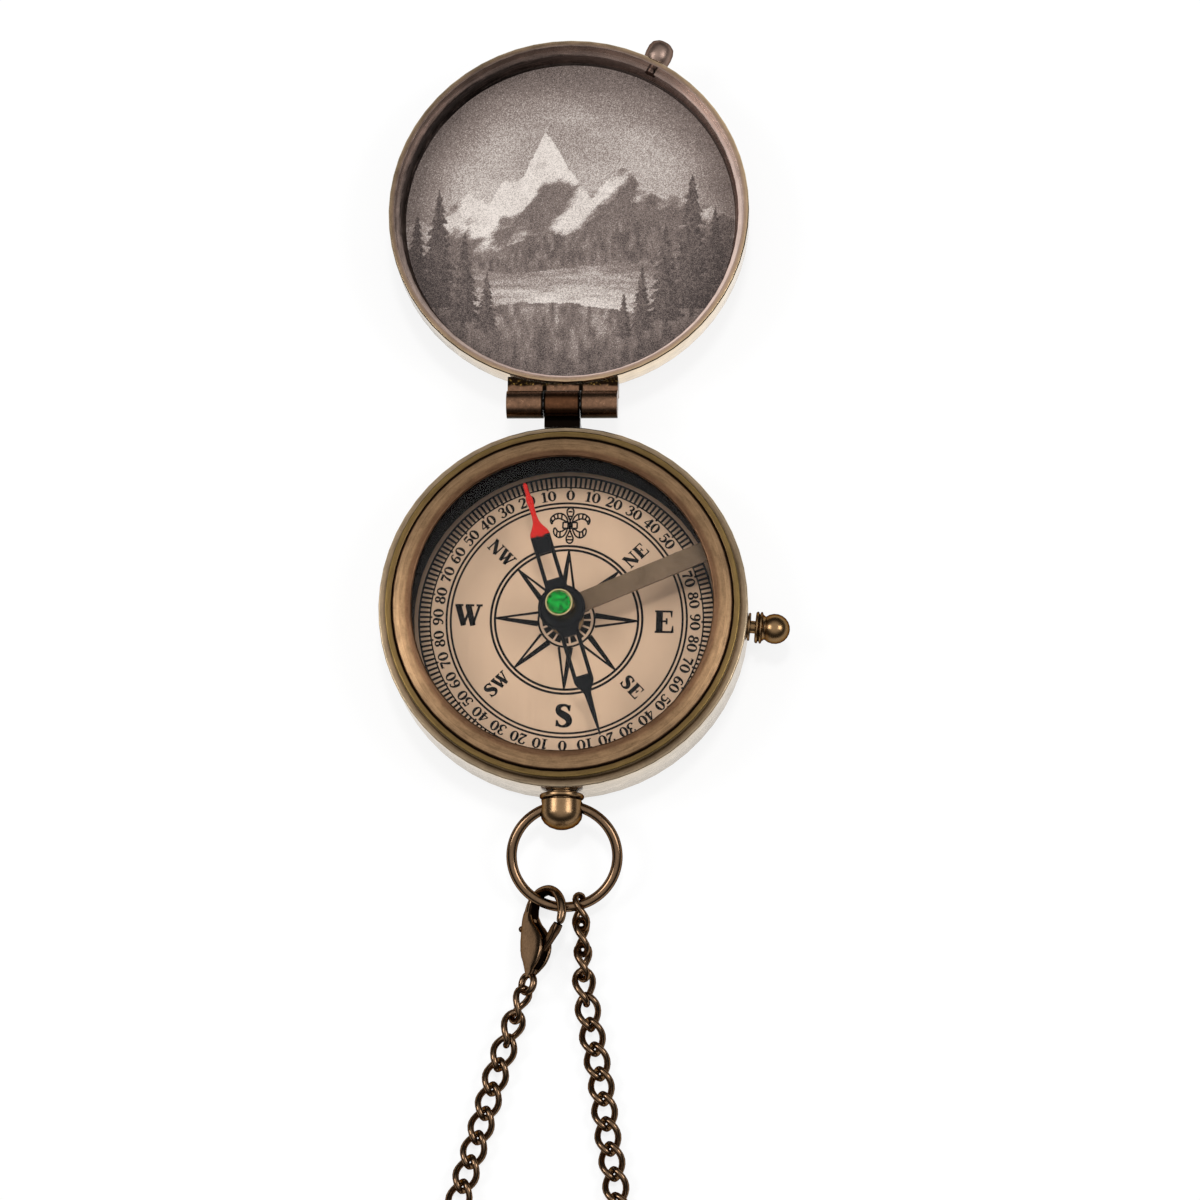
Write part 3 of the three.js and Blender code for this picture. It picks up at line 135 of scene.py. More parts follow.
# The lid's peg as radius and distance from its seat, the seat from the lid's middle, and the way it points
PEG_OUTLINE = (
    (0.0, -1.46), (0.72, -1.46), (0.72, -0.1), (1.5, -0.1), (1.55, 0.3), (1.8, 0.6), (1.88, 1.4), (1.84, 2.3),
    (1.6, 2.95), (1.1, 3.35), (0.55, 3.5), (0.0, 3.52),
)
PEG_SEAT = (11.62, 22.14, 0)
PEG_WAY = math.radians(24)
# How far the engraved plate reaches under the lid's wall, and the tone of its hidden edge
PLATE_TUCK = 0.8
SKIRT_TONE = 0.3

# Meshes: distances in metres below which corners are merged, and angles that count as flat or as an edge
SEAM_GAP, LOOSE_GAP = 1e-8, 1e-7
FLATNESS, CAD_CREASE, NEW_CREASE = math.radians(0.4), math.radians(28), math.radians(40)
STOP_BEVEL = 0.05

# Finishes, in mm: the reach of the tint scale, the hinge's gaps and corners, where shade is painted
# near black, the lid's wall and the way that its painted lit side lies, the worn rims, the dial's bright
# band and the edge of the needle's red
ZONE_REACH = 26.0
HINGE_GAP_SHADOWS = (-2.95, 2.05)
HINGE_FOOT_SHADOW, HINGE_SOLDER_AND_SHADOW, HINGE_BLEND = 26.3, 31.3, 0.3
LID_WALL, LID_PAINTED_LIGHT_WAY = (23.6, 24.0), (0.7, -0.6)
RIM_POLISH = 24.9
BRIGHT_BAND = 18.95
RED_EDGE = 10.85
# Fineness of the streaks round the turning axis, the patina's least brightness, and its tint near grazing
STREAK_RATE = 11.0
DARKEST = 0.06
DARK_EDGE = "#5E5044"

# Tints of the antiqued brass, by the distance from the turning axis. The case's dark stop at 24.02, the
# corner of the rim's step, is painted shade.
BEZEL_ZONES = (
    (20.3, "#674B37"), (21.1, "#73553E"), (21.35, "#8E7052"), (22.6, "#97795A"), (22.85, "#58402F"),
)
CASE_ZONES = (
    (22.0, "#6E543D"), (22.9, "#33251B"), (23.1, "#33251B"), (23.2, "#6C5636"), (23.85, "#7C653C"),
    (24.02, "#3E2F1E"), (24.2, "#846E56"), (24.8, "#A08C72"), (24.95, "#CDB99C"),
)
LID_ZONES = (
    (22.0, "#6A5850"), (22.3, "#62524A"), (23.3, "#A8938A"), (24.15, "#B8A49A"), (24.3, "#8C7465"),
    (24.85, "#A48C6E"), (24.95, "#CDB99C"),
)
SLEEVE_ZONES = ((20.0, "#1A0F0C"), (22.0, "#1A0F0C"))
PEG_ZONES = ((24.2, "#74625A"), (24.6, "#927D72"))
LEVER_ZONES = ((0, "#7E6852"), (20, "#8A745E"))

# Studio: the camera in mm and radians, then lamps and floor in metres and watts
CAMERA_PLACE = (32.167, -119.921, 505.771)
CAMERA_ROLL = -0.001
CAMERA_TILT = math.radians(13.68)
CAMERA_PAN = math.radians(3.06)
FOCAL_PIXELS, FRAME_PIXELS = 3786.68, 1200
SENSOR_WIDTH = 36
CAMERA_LENS = FOCAL_PIXELS / FRAME_PIXELS * SENSOR_WIDTH
CAMERA_CLIP = (0.01, 20)
# Each lamp's name, place, target, size and power, and whether metal mirrors it
LAMPS = (
    ("left_softbox", (-0.5, 0.06, 0.58), (0, 0.02, 0), 0.3, 1.9, True),
    ("right_softbox", (0.5, 0.0, 0.58), (0, 0.0, 0), 0.3, 1.8, True),
    ("top_light", (0.04, 0.17, 0.80), (0, 0.02, 0), 0.10, 1.75, False),
)
# The slopes between which the sky brightens, and the floor's half-size, level and share of plain white
SKY_RISE = (0.5, 0.98)
FLOOR_REACH, FLOOR_LEVEL, FLOOR_GLOW = 2.0, -0.00002, 0.8

# The chain's route, from its end on the bow ring to its end in the clasp
BOW_END = (2.411, -39.919, 2.938)
RIGHT_ROUTE = [
    (2.7, -43.5, 2.4), (2.9, -47, 2.1), (3.05, -49.9, 1.88), (4.05, -56.3, 1.4),
    (5.35, -63, 1.27), (6.35, -69.9, 1.27), (7.5, -76.7, 1.27), (8.1, -80.6, 1.27),
]
LEAD_OUT = [(16.3, -97.5, 4.85), (13.8, -90.6, 4.2), (10.2, -84.2, 2.2)]
LEAD_IN = [(-14.9, -84.2, 1.45), (-18.4, -90.6, 1.45), (-21.5, -97.5, 1.45)]
LEFT_ROUTE = [
    (-5.6, -53.2, 2.2), (-6.7, -56.6, 1.82), (-8.2, -61, 1.5), (-9.15, -64.4, 1.3),
    (-10, -67.5, 1.28), (-11.3, -72, 1.27), (-12.7, -76.8, 1.27), (-13.7, -80.5, 1.27),
]
CLASP_END = (-4.8, -50.9, 2.6)
# The coil's middle, level, radius, step from turn to turn, and angles in degrees, and the cord path's step
COIL_X, COIL_Y, COIL_LOW = -2.7, -104, 1.42
COIL_RADIUS, COIL_PITCH = 20, 3.4
COIL_START, COIL_END, COIL_STEP = 192, 708, 12.0
# The first link's place on the line, the reach over which a link takes the line's direction, and the links'
# rolls in degrees at both fastenings
FIRST_LINK, LINK_SIGHT = 0.70, 0.4
BOW_ROLLS = (-104, -90, -78, -46, -16)
CLASP_ROLLS = (4, 16, 46, 82)
# The bow ring's stretch across and along, and its shift from the solid's middle
BOW_OVAL, BOW_SHIFT = (1.01, 0.97), (0.35, 0.2, 0)

# The clasp's own frame: the middle of its tail ring, then its across, along and through directions
CLASP_PLACE = np.array((-4.45542, -50.25771, 2.8551))
CLASP_AXES = np.array(((0.69781, -0.11427, 0.70711), (0.1616, 0.98686, 0), (-0.69781, 0.11427, 0.70711)))
# Bars of the clasp as stations: across, along, half-width, middle height, half-thickness, squareness
CLASP_CHEEK = (
    (0.15, 1.3, 0.55, 0.5, 0.1, 3), (0.35, 2.2, 1.05, 0.66, 0.25, 3.2), (0.5, 3.4, 1.8, 0.76, 0.31, 3.6),
    (0.4, 4.8, 2.12, 0.8, 0.33, 3.6), (-0.4, 6.3, 1.78, 0.8, 0.33, 3.6), (-1.3, 7.8, 1.1, 0.78, 0.32, 3.4),
    (-1.85, 9.2, 0.72, 0.66, 0.3, 3), (-2.02, 10.4, 0.55, 0.4, 0.15, 2.6),
)
CLASP_TAIL = ((0.1, 0.9, 0.6, 0, 0.45, 2.6), (0.25, 1.8, 0.85, 0, 0.62, 3), (0.45, 2.7, 1.1, 0, 0.62, 3))
CLASP_HOOK = (
    (-1.42, 8.0, 0.8, 0, 0.7, 3), (-1.75, 8.7, 0.8, 0, 0.9, 3), (-2.0, 9.9, 0.63, 0, 0.86, 2.6),
    (-1.9, 11.2, 0.58, 0, 0.7, 2.2), (-1.0, 12.45, 0.55, 0, 0.6, 2), (0.9, 12.93, 0.56, 0, 0.58, 2),
    (2.7, 12.3, 0.6, 0, 0.6, 2), (3.9, 11.1, 0.62, 0, 0.62, 2), (4.4, 9.7, 0.6, 0, 0.6, 2),
    (4.38, 8.6, 0.5, 0, 0.5, 2), (4.34, 8.25, 0.3, 0, 0.3, 2),
)
CLASP_GATE = (
    (0.2, 3.2, 0.7, 0, 0.42, 3), (0.95, 3.9, 0.8, 0, 0.44, 4), (1.9, 4.9, 0.68, 0, 0.45, 4.5),
    (2.85, 6.1, 0.62, 0, 0.45, 4.5), (3.25, 6.75, 0.6, 0, 0.52, 4.5), (3.65, 7.4, 0.57, 0, 0.62, 4.5),
    (4.1, 8.2, 0.46, 0, 0.6, 4),
)
# Painted shadow: near-black inner faces, the hook's inside and the floor between the cheeks below the gate
CLASP_INSIDE_SHADOW = (
    (-0.5, 6.4, 0.22, 0, 0.45, 3), (-0.75, 7.6, 0.22, 0, 0.62, 3), (-1.2, 9.0, 0.22, 0, 0.84, 3),
    (-1.42, 10.2, 0.22, 0, 0.84, 3), (-1.25, 11.2, 0.22, 0, 0.74, 3), (-0.6, 11.95, 0.2, 0, 0.62, 3),
    (0.7, 12.3, 0.16, 0, 0.56, 3), (1.9, 11.98, 0.14, 0, 0.5, 3),
)
CLASP_FLOOR_SHADOW = (
    (0.55, 1.7, 0.4, 0, 0.5, 3), (1.3, 2.7, 0.42, 0, 0.5, 3), (1.95, 3.8, 0.34, 0, 0.5, 3),
    (2.22, 4.7, 0.24, 0, 0.5, 3),
)
CLASP_TAB = ((0.6, 4.4, 0.4, 0, 0.3, 3), (-0.8, 6.2, 0.34, 0, 0.3, 3), (-2.9, 7.3, 0.3, 0, 0.3, 2.4))
TAB_KNOB, TAB_KNOB_RADIUS = (-3.1, 7.36, 0.1), 0.45
# The tail ring's radius, wire and stretch
TAIL_RING = (1.2, 0.46, 1.05)


class CompassSizes(bpy.types.PropertyGroup):
    """Sizes of the pieces that the scene adds, in mm"""

    link_length: FloatProperty(name="Link length", description="Outside length of a chain link", default=5.5)
    link_width: FloatProperty(name="Link width", description="Outside width of a chain link", default=3.64)
    link_wire: FloatProperty(name="Link wire", description="Radius of the link's wire", default=0.44)
    link_pitch: FloatProperty(name="Link pitch", description="Distance from link to link", default=3.36)
    link_twist: FloatProperty(name="Link twist", description="Twist of link ends, in degrees", default=60.0)
    bow_radius: FloatProperty(name="Bow radius", description="Radius of the ring's middle line", default=7.05)
    bow_wire: FloatProperty(name="Bow wire", description="Radius of the bow ring's wire", default=0.7)
    ink_height: FloatProperty(name="Ink height", description="Thickness of the dial's print", default=0.015)
    dial_turn: FloatProperty(
        name="Dial turn", description="Turn of the print on the dial, clockwise", default=math.radians(1.1),
        subtype="ANGLE",
    )
    bevel: FloatProperty(name="Edge rounding", description="Rounding of the metal's edges", default=0.07)
    plate_cells: IntProperty(name="Plate cells", description="Cells across the engraved plate", default=310)
    relief: FloatProperty(name="Engraving depth", description="Depth of the lid's engraving", default=0.03)


class CompassColours(bpy.types.PropertyGroup):
    """Colours of the finishes"""

    gilt: colour_property("Gilt brass", "#EAD79C", "Bright brass of the needle's cap")
    copper: colour_property("Dial copper", "#E2BE9D", "Copper-coloured dial lacquer")
    ink: colour_property("Ink", "#0A0707", "Printing ink on the dial")
    needle_black: colour_property("Needle black", "#06070A", "Blackened steel of the needle")
    needle_red: colour_property("Needle red", "#D2231B", "Red lacquer on the needle's tip")
    stone: colour_property("Stone green", "#0B8C2E", "Green glass stone")
    plate_light: colour_property("Plate, pale", "#E8DFD8", "Etched plate, pale tones")
    plate_dark: colour_property("Plate, dark", "#2B2120", "Etched plate, dark tones")


# ---------------------------------------------------------------------------
# Surfaces


def smooth_step(value, low, high):
    """0 below low, 1 above high, and an even rise between."""
    t = np.clip((value - low) / (high - low), 0, 1)
    return t * t * (3 - 2 * t)


def round_angles(count):
    """Even angles once round a circle."""
    return np.linspace(0, FULL_TURN, count, endpoint=False)


def unit(vectors):
    """Vectors brought to a length of one."""
    return vectors / np.linalg.norm(vectors, axis=-1, keepdims=True)


def grid_faces(rows, columns, wrap_rows=False, wrap_columns=False):
    """Quads between the neighbours of a grid. A wrapped side joins its last line to its first."""
    index = np.arange(rows * columns).reshape(rows, columns)
    if wrap_rows:
        index = np.vstack([index, index[:1]])
    if wrap_columns:
        index = np.hstack([index, index[:, :1]])
    corners = index[:-1, :-1], index[1:, :-1], index[1:, 1:], index[:-1, 1:]
    return np.stack(corners, -1).reshape(-1, 4)


def joined(parts):
    """One vertex array and one quad array from several, each part's indices moved past those before it."""
    starts = np.cumsum([0] + [len(points) for points, _ in parts[:-1]])
    points = np.concatenate([p for p, _ in parts])
    return points, np.concatenate([faces + start for (_, faces), start in zip(parts, starts)])


def add_object(name, data):
    """A new object in the scene."""
    made = bpy.data.objects.new(name, data)
    bpy.context.scene.collection.objects.link(made)
    return made


def painted(mesh, material):
    """Gives a mesh one finish in place of any that it had."""
    mesh.materials.clear()
    mesh.materials.append(material)


def add_piece(name, mesh, material, body, replaced):
    """An object at the origin for a finished mesh, riding on a body in place of the replaced CAD nodes."""
    painted(mesh, material)
    piece = add_object(name, mesh)
    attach(piece, body)
    if replaced:
        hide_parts(*replaced)
    return piece


def new_piece(name, shape, material, body, replaced=(), smooth=True):
    """A piece from a closed shape's points, in mm, and faces, with merged seams and faces turned out."""
    points, faces = shape
    mesh = bpy.data.meshes.new(name)
    mesh.from_pydata((np.asarray(points) * MM).tolist(), [], [list(map(int, face)) for face in faces])
    shell = bmesh.new()
    shell.from_mesh(mesh)
    bmesh.ops.remove_doubles(shell, verts=shell.verts[:], dist=SEAM_GAP)
    bmesh.ops.recalc_face_normals(shell, faces=shell.faces[:])
    shell.to_mesh(mesh)
    shell.free()
    mesh.polygons.foreach_set("use_smooth", np.full(len(mesh.polygons), smooth))
    if smooth:
        mesh.set_sharp_from_angle(angle=NEW_CREASE)
    return add_piece(name, mesh, material, body, replaced)


def finished_copy(node, material, bevel):
    """A copy of a CAD solid with its loose triangles merged into flats, and its edges rounded."""
    name = node + "_finish"
    mesh = NODES[node].data.copy()
    mesh.name = name
    if "custom_normal" in mesh.attributes:
        mesh.attributes.remove(mesh.attributes["custom_normal"])
    shell = bmesh.new()
    shell.from_mesh(mesh)
    bmesh.ops.remove_doubles(shell, verts=shell.verts[:], dist=LOOSE_GAP)
    bmesh.ops.dissolve_limit(
        shell, angle_limit=FLATNESS, use_dissolve_boundaries=False,
        verts=shell.verts[:], edges=shell.edges[:],
    )
    shell.to_mesh(mesh)
    shell.free()
    mesh.polygons.foreach_set("use_smooth", np.ones(len(mesh.polygons), dtype=bool))
    mesh.set_sharp_from_angle(angle=CAD_CREASE)
    piece = add_piece(name, mesh, material, NODES[node]["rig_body"], [node])
    rounding = piece.modifiers.new("edge_rounding", "BEVEL")
    rounding.width = bevel * MM
    rounding.segments = 2
    rounding.limit_method = "ANGLE"
    rounding.angle_limit = CAD_CREASE
    rounding.harden_normals = True


# ---------------------------------------------------------------------------
# Finishes


def feed(tree, target, inputs):
    """Fills a node's inputs: a node is linked by its first output, a socket is linked, and a value is set."""
    for key, value in inputs.items():
        if isinstance(value, bpy.types.Node):
            value = value.outputs[0]
        if isinstance(value, bpy.types.NodeSocket):
            tree.links.new(value, target.inputs[key])
        else:
            target.inputs[key].default_value = value


def node(tree, kind, inputs=None, **settings):
    """Adds a shader node with its settings, and feeds its inputs."""
    made = tree.nodes.new("ShaderNode" + kind)
    for key, value in settings.items():
        setattr(made, key, value)
    feed(tree, made, inputs or {})
    return made


def new_material(name, **sockets):
    """A material with only a Principled shader, and its tree and shader."""
    material = bpy.data.materials.new(name)
    material.use_nodes = True
    tree = material.node_tree
    shader = tree.nodes["Principled BSDF"]
    feed(tree, shader, {key.replace("_", " "): value for key, value in sockets.items()})
    return material, tree, shader


def per_mm(size):
    """Scale of a pattern on Object coordinates whose features are this many mm apart."""
    return 1 / (size * MM)


def weighted_sum(tree, start, terms):
    """A start value plus each pattern's distance from its middle, times its weight."""
    total = start - sum(weight for _, weight in terms) / 2
    for pattern, weight in terms:
        total = node(tree, "Math", {0: pattern, 1: weight, 2: total}, operation="MULTIPLY_ADD")
    return total


def aged_brass(
    name, zones, centre=(0, 0), rough=0.36, contrast=0.5, turned=1.0, lean=(0, 0), polished=99.0,
    edge="#FFFFFF",
):
    """Antiqued brass, turned, then browned and rubbed back. The tint goes by the distance from the turning
    axis, for the patina stays in grooves and leaves edges first; a tint that darkens at a step paints the
    shade in that corner. Fine lines and short streaks run round that axis and stretch the highlights across
    them, and a wall beyond the polished radius is burnished. A lean paints light and shade: one side of a
    piece paler and the other darker, as light falls from that side, less so on its wall. The edge tint is
    the reflection near grazing, dark where the patina is thick."""
    material, tree, shader = new_material(
        name, Metallic=1.0, Anisotropic=0.65 * turned, Anisotropic_Rotation=0.25 * turned,
        Specular_Tint=linear(edge),
    )
    coords = node(tree, "TexCoord").outputs["Object"]
    local = node(tree, "Mapping", {"Vector": coords, "Location": (-centre[0] * MM, -centre[1] * MM, 0)})
    x, y, z = node(tree, "SeparateXYZ", {0: local}).outputs
    flat = node(tree, "CombineXYZ", {0: x, 1: y})
    radius = node(tree, "VectorMath", {0: flat}, operation="LENGTH").outputs["Value"]
    way = node(tree, "VectorMath", {0: flat}, operation="NORMALIZE")
    share = node(tree, "Math", {0: radius, 1: per_mm(ZONE_REACH)}, operation="MULTIPLY")
    ramp = node(tree, "ValToRGB", {0: share})
    stops = ramp.color_ramp.elements
    while len(stops) < len(zones):
        stops.new(0.5)
    for stop, (reach, code) in zip(stops, zones):
        stop.position = reach / ZONE_REACH
        stop.color = linear(code)
    grain = node(
        tree, "TexNoise", {"Vector": coords, "Scale": per_mm(0.25), "Detail": 3.0, "Roughness": 0.65}
    )
    film = node(tree, "TexNoise", {"Vector": coords, "Scale": per_mm(2.4), "Detail": 4.0})
    terms = [(grain, 0.9 * contrast), (film, 0.8 * contrast)]
    height = grain
    if turned:
        turn = node(tree, "Math", {0: radius, 1: z}, operation="ADD")
        lines = node(
            tree, "TexNoise", {"W": turn, "Scale": per_mm(0.14), "Detail": 2.0}, noise_dimensions="1D"
        )
        across = node(tree, "Math", {0: turn, 1: per_mm(0.3)}, operation="MULTIPLY")
        round_it = node(tree, "VectorMath", {0: way, "Scale": STREAK_RATE}, operation="SCALE")
        spread = node(tree, "CombineXYZ", {2: across})
        spot = node(tree, "VectorMath", {0: round_it, 1: spread}, operation="ADD")
        streaks = node(tree, "TexNoise", {"Vector": spot, "Scale": 1.0, "Detail": 3.0})
        terms += [(lines, 0.9 * contrast), (streaks, 1.6 * contrast)]
        height = node(tree, "Math", {0: grain, 1: 0.3, 2: lines}, operation="MULTIPLY_ADD")
        along = node(tree, "CombineXYZ", {0: y, 1: x})
        tangent = node(tree, "VectorMath", {0: along, 1: (-1, 1, 0)}, operation="MULTIPLY")
        feed(tree, shader, {"Tangent": tangent})
    gain = weighted_sum(tree, 1.0, terms)
    # Painted light and shade: the side that the lean points to is painted paler and the other side darker
    if any(lean):
        painted_side_light = node(tree, "VectorMath", {0: way, 1: (*lean, 0)}, operation="DOT_PRODUCT").outputs["Value"]
        low, high = LID_WALL
        depth = node(tree, "MapRange", {0: radius, 1: low * MM, 2: high * MM, 3: 1.0, 4: 0.45})
        painted_side_light = node(tree, "Math", {0: painted_side_light, 1: depth}, operation="MULTIPLY")
        gain = node(tree, "Math", {0: gain, 1: painted_side_light}, operation="ADD")
    gain = node(tree, "Math", {0: gain, 1: DARKEST}, operation="MAXIMUM")
    colour = node(tree, "VectorMath", {0: ramp, "Scale": gain}, operation="SCALE")
    dull = node(tree, "MapRange", {0: gain, 1: 0.6, 2: 1.4, 3: rough + 0.08, 4: rough - 0.08})
    burnish = node(
        tree, "MapRange", {0: radius, 1: (polished - 0.05) * MM, 2: (polished + 0.05) * MM, 3: 1.0, 4: 0.45}
    )
    dull = node(tree, "Math", {0: dull, 1: burnish}, operation="MULTIPLY")
    bump = node(tree, "Bump", {"Height": height, "Strength": 0.18, "Distance": 0.00003})
    feed(tree, shader, {"Base Color": colour, "Roughness": dull, "Normal": bump})
    return material


def plain_brass(name, tint, rough=0.36, contrast=0.9):
    """Antiqued brass that was cast or drawn and not turned: one tint, specked by the patina, and dark near
    grazing."""
    zones = ((0, tint), (1, tint))
    return aged_brass(name, zones, rough=rough, contrast=contrast, turned=0.0, edge=DARK_EDGE)


def hinge_brass(name, tint):
    """Browned brass of the hinge: dull brown knuckles, with near-black painted shade in the gaps between them
    and in the corners next to the case and lid, where flecks of yellow solder show on the painted shade."""
    material, tree, shader = new_material(name, Metallic=1.0)
    coords = node(tree, "TexCoord").outputs["Object"]
    x, y, _ = node(tree, "SeparateXYZ", {0: coords}).outputs
    grain = node(tree, "TexNoise", {"Vector": coords, "Scale": per_mm(0.5), "Detail": 5.0, "Roughness": 0.7})
    flow = node(tree, "TexNoise", {"Vector": coords, "Scale": per_mm(1.1), "Detail": 3.0})
    gain = node(tree, "MapRange", {0: grain, 1: 0.3, 2: 0.7, 3: 0.65, 4: 1.35})
    brown = node(tree, "VectorMath", {0: linear(tint)[:3], "Scale": gain}, operation="SCALE")
    # Painted shade: the gaps between the knuckles and the foot next to the case are painted near black
    unshaded_face = 1.0
    for gap in HINGE_GAP_SHADOWS:
        off = node(tree, "Math", {0: x, 1: gap * MM}, operation="SUBTRACT")
        off = node(tree, "Math", {0: off}, operation="ABSOLUTE")
        clear = node(tree, "MapRange", {0: off, 1: 0.24 * MM, 2: 0.36 * MM})
        unshaded_face = node(tree, "Math", {0: clear, 1: unshaded_face}, operation="MULTIPLY")
    foot = node(tree, "MapRange", {0: y, 1: HINGE_FOOT_SHADOW * MM, 2: (HINGE_FOOT_SHADOW + HINGE_BLEND) * MM})
    unshaded_face = node(tree, "Math", {0: unshaded_face, 1: foot}, operation="MULTIPLY")
    knuckle = node(tree, "Mix", {0: unshaded_face, 6: linear("#0E0906"), 7: brown}, data_type="RGBA").outputs[2]
    # Past the corner line next to the lid the colour is near-black painted shade, flecked with real yellow
    # solder
    wander = node(tree, "Math", {0: flow, 1: 0.9 * MM, 2: y}, operation="MULTIPLY_ADD")
    corner = node(tree, "MapRange", {0: wander, 1: HINGE_SOLDER_AND_SHADOW * MM, 2: (HINGE_SOLDER_AND_SHADOW + HINGE_BLEND) * MM})
    fleck = node(tree, "MapRange", {0: grain, 1: 0.56, 2: 0.66})
    solder_on_shadow = node(
        tree, "Mix", {0: fleck, 6: linear("#1A110A"), 7: linear("#8E7038")}, data_type="RGBA"
    ).outputs[2]
    colour = node(tree, "Mix", {0: corner, 6: knuckle, 7: solder_on_shadow}, data_type="RGBA").outputs[2]
    dull = node(tree, "MapRange", {0: grain, 3: 0.15, 4: 0.34})
    bump = node(tree, "Bump", {"Height": grain, "Strength": 0.3, "Distance": 0.00005})
    feed(tree, shader, {"Base Color": colour, "Roughness": dull, "Normal": bump})
    return material


def even_finish(name, size, detail, smoothest, roughest, **sockets):
    """A finish of one colour, whose gloss alone changes in specks of a size in mm."""
    material, tree, shader = new_material(name, **sockets)
    coords = node(tree, "TexCoord").outputs["Object"]
    specks = node(tree, "TexNoise", {"Vector": coords, "Scale": per_mm(size), "Detail": detail})
    feed(tree, shader, {"Roughness": node(tree, "MapRange", {0: specks, 3: smoothest, 4: roughest})})
    return material


def gilt_brass(colour):
    """Polished brass of the needle's cap: clean yellow metal with a sharp highlight and a few dull specks."""
    return even_finish("polished_brass", 0.5, 3.0, 0.1, 0.25, Base_Color=colour, Metallic=1.0)


def drawn_steel():
    """Drawn steel wire of the pins and spring: grey, with a finely uneven gloss."""
    return even_finish("drawn_steel", 0.2, 2.0, 0.25, 0.45, Base_Color=linear("#9A9B9C"), Metallic=1.0)


def printing_ink(colour):
    """Screen-printed black ink: matt, very slightly brown, with a mottled gloss."""
    return even_finish("printing_ink", 0.3, 2.0, 0.5, 0.75, Base_Color=colour, Specular_IOR_Level=0.15)


def dial_lacquer(colour):
    """Copper-coloured lacquer on a sheet brass dial: satin, nearly even, with faint rolling lines and age
    specks. The band under the degree bars is left as bright metal, which mirrors the sky or the dark wall
    beside it."""
    material, tree, shader = new_material("copper_lacquer")
    coords = node(tree, "TexCoord").outputs["Object"]
    stretched = node(tree, "Mapping", {"Vector": coords, "Scale": (1, 0.04, 1)})
    lines = node(tree, "TexNoise", {"Vector": stretched, "Scale": per_mm(0.3), "Detail": 3.0})
    cloud = node(tree, "TexNoise", {"Vector": coords, "Scale": per_mm(5.0), "Detail": 3.0})
    specks = node(tree, "TexNoise", {"Vector": coords, "Scale": per_mm(0.7), "Detail": 4.0, "Roughness": 0.7})
    spot = node(tree, "MapRange", {0: specks, 1: 0.68, 2: 0.75, 3: 0.0, 4: 0.35})
    shade = weighted_sum(tree, 1.0, ((lines, 0.10), (cloud, 0.14)))
    even = node(tree, "VectorMath", {0: tuple(colour[:3]), "Scale": shade}, operation="SCALE")
    aged = node(tree, "Mix", {0: spot, 6: even, 7: linear("#A9805A")}, data_type="RGBA").outputs[2]
    x, y, _ = node(tree, "SeparateXYZ", {0: coords}).outputs
    flat = node(tree, "CombineXYZ", {0: x, 1: y})
    radius = node(tree, "VectorMath", {0: flat}, operation="LENGTH").outputs["Value"]
    band = node(tree, "MapRange", {0: radius, 1: BRIGHT_BAND * MM, 2: (BRIGHT_BAND + 0.1) * MM})
    metal = node(tree, "MapRange", {0: band, 3: 0.12, 4: 0.95})
    dull = node(tree, "MapRange", {0: lines, 3: 0.42, 4: 0.55})
    dull = node(tree, "Mix", {0: band, 2: dull, 3: 0.32})
    feed(tree, shader, {"Base Color": aged, "Metallic": metal, "Roughness": dull})
    return material


def needle_steel(black, red):
    """Blackened steel with red lacquer on the north tip: the black is semi-gloss with grey scuffs, and the
    red stops at a hand-painted edge."""
    material, tree, shader = new_material("blackened_steel", Specular_IOR_Level=0.14)
    coords = node(tree, "TexCoord").outputs["Object"]
    turned = node(tree, "Mapping", {"Vector": coords, "Rotation": (0, 0, NEEDLE_AZIMUTH)})
    reach = node(tree, "SeparateXYZ", {0: turned}).outputs[1]
    wander = node(tree, "TexNoise", {"Vector": coords, "Scale": per_mm(1.1), "Detail": 2.0})
    edge = node(tree, "Math", {0: wander, 1: 1.2 * MM, 2: reach}, operation="MULTIPLY_ADD")
    tip = node(tree, "MapRange", {0: edge, 1: RED_EDGE * MM, 2: (RED_EDGE + 0.15) * MM})
    scuff = node(tree, "TexNoise", {"Vector": coords, "Scale": per_mm(0.35), "Detail": 4.0, "Roughness": 0.7})
    worn = node(tree, "MapRange", {0: scuff, 1: 0.56, 2: 0.72})
    steel = node(tree, "Mix", {0: worn, 6: black, 7: linear("#1C1E20")}, data_type="RGBA").outputs[2]
    paint = node(tree, "MapRange", {0: scuff, 1: 0.3, 2: 0.7, 3: 0.75, 4: 1.2})
    lacquer = node(tree, "VectorMath", {0: tuple(red[:3]), "Scale": paint}, operation="SCALE")
    colour = node(tree, "Mix", {0: tip, 6: steel, 7: lacquer}, data_type="RGBA").outputs[2]
    dull = node(tree, "MapRange", {0: scuff, 3: 0.28, 4: 0.5})
    feed(tree, shader, {"Base Color": colour, "Roughness": dull})
    return material


def green_glass(colour):
    """Foiled green glass: its colour is painted in random cells from deep green to bright, painted glints for
    the light that comes back out of the facets.
    """
    material, tree, shader = new_material(
        "foiled_green_glass", Metallic=0.45, Roughness=0.12, Specular_IOR_Level=0.3
    )
    coords = node(tree, "TexCoord").outputs["Object"]
    # Painted glints: random cells scale the green from dark to over twice as bright
    glint = node(tree, "TexVoronoi", {"Vector": coords, "Scale": per_mm(0.42)}).outputs["Color"]
    level = node(tree, "SeparateColor", {0: glint})
    gain = node(tree, "MapRange", {0: level, 3: 0.3, 4: 2.3})
    green = node(tree, "VectorMath", {0: tuple(colour[:3]), "Scale": gain}, operation="SCALE")
    feed(tree, shader, {"Base Color": green})
    return material


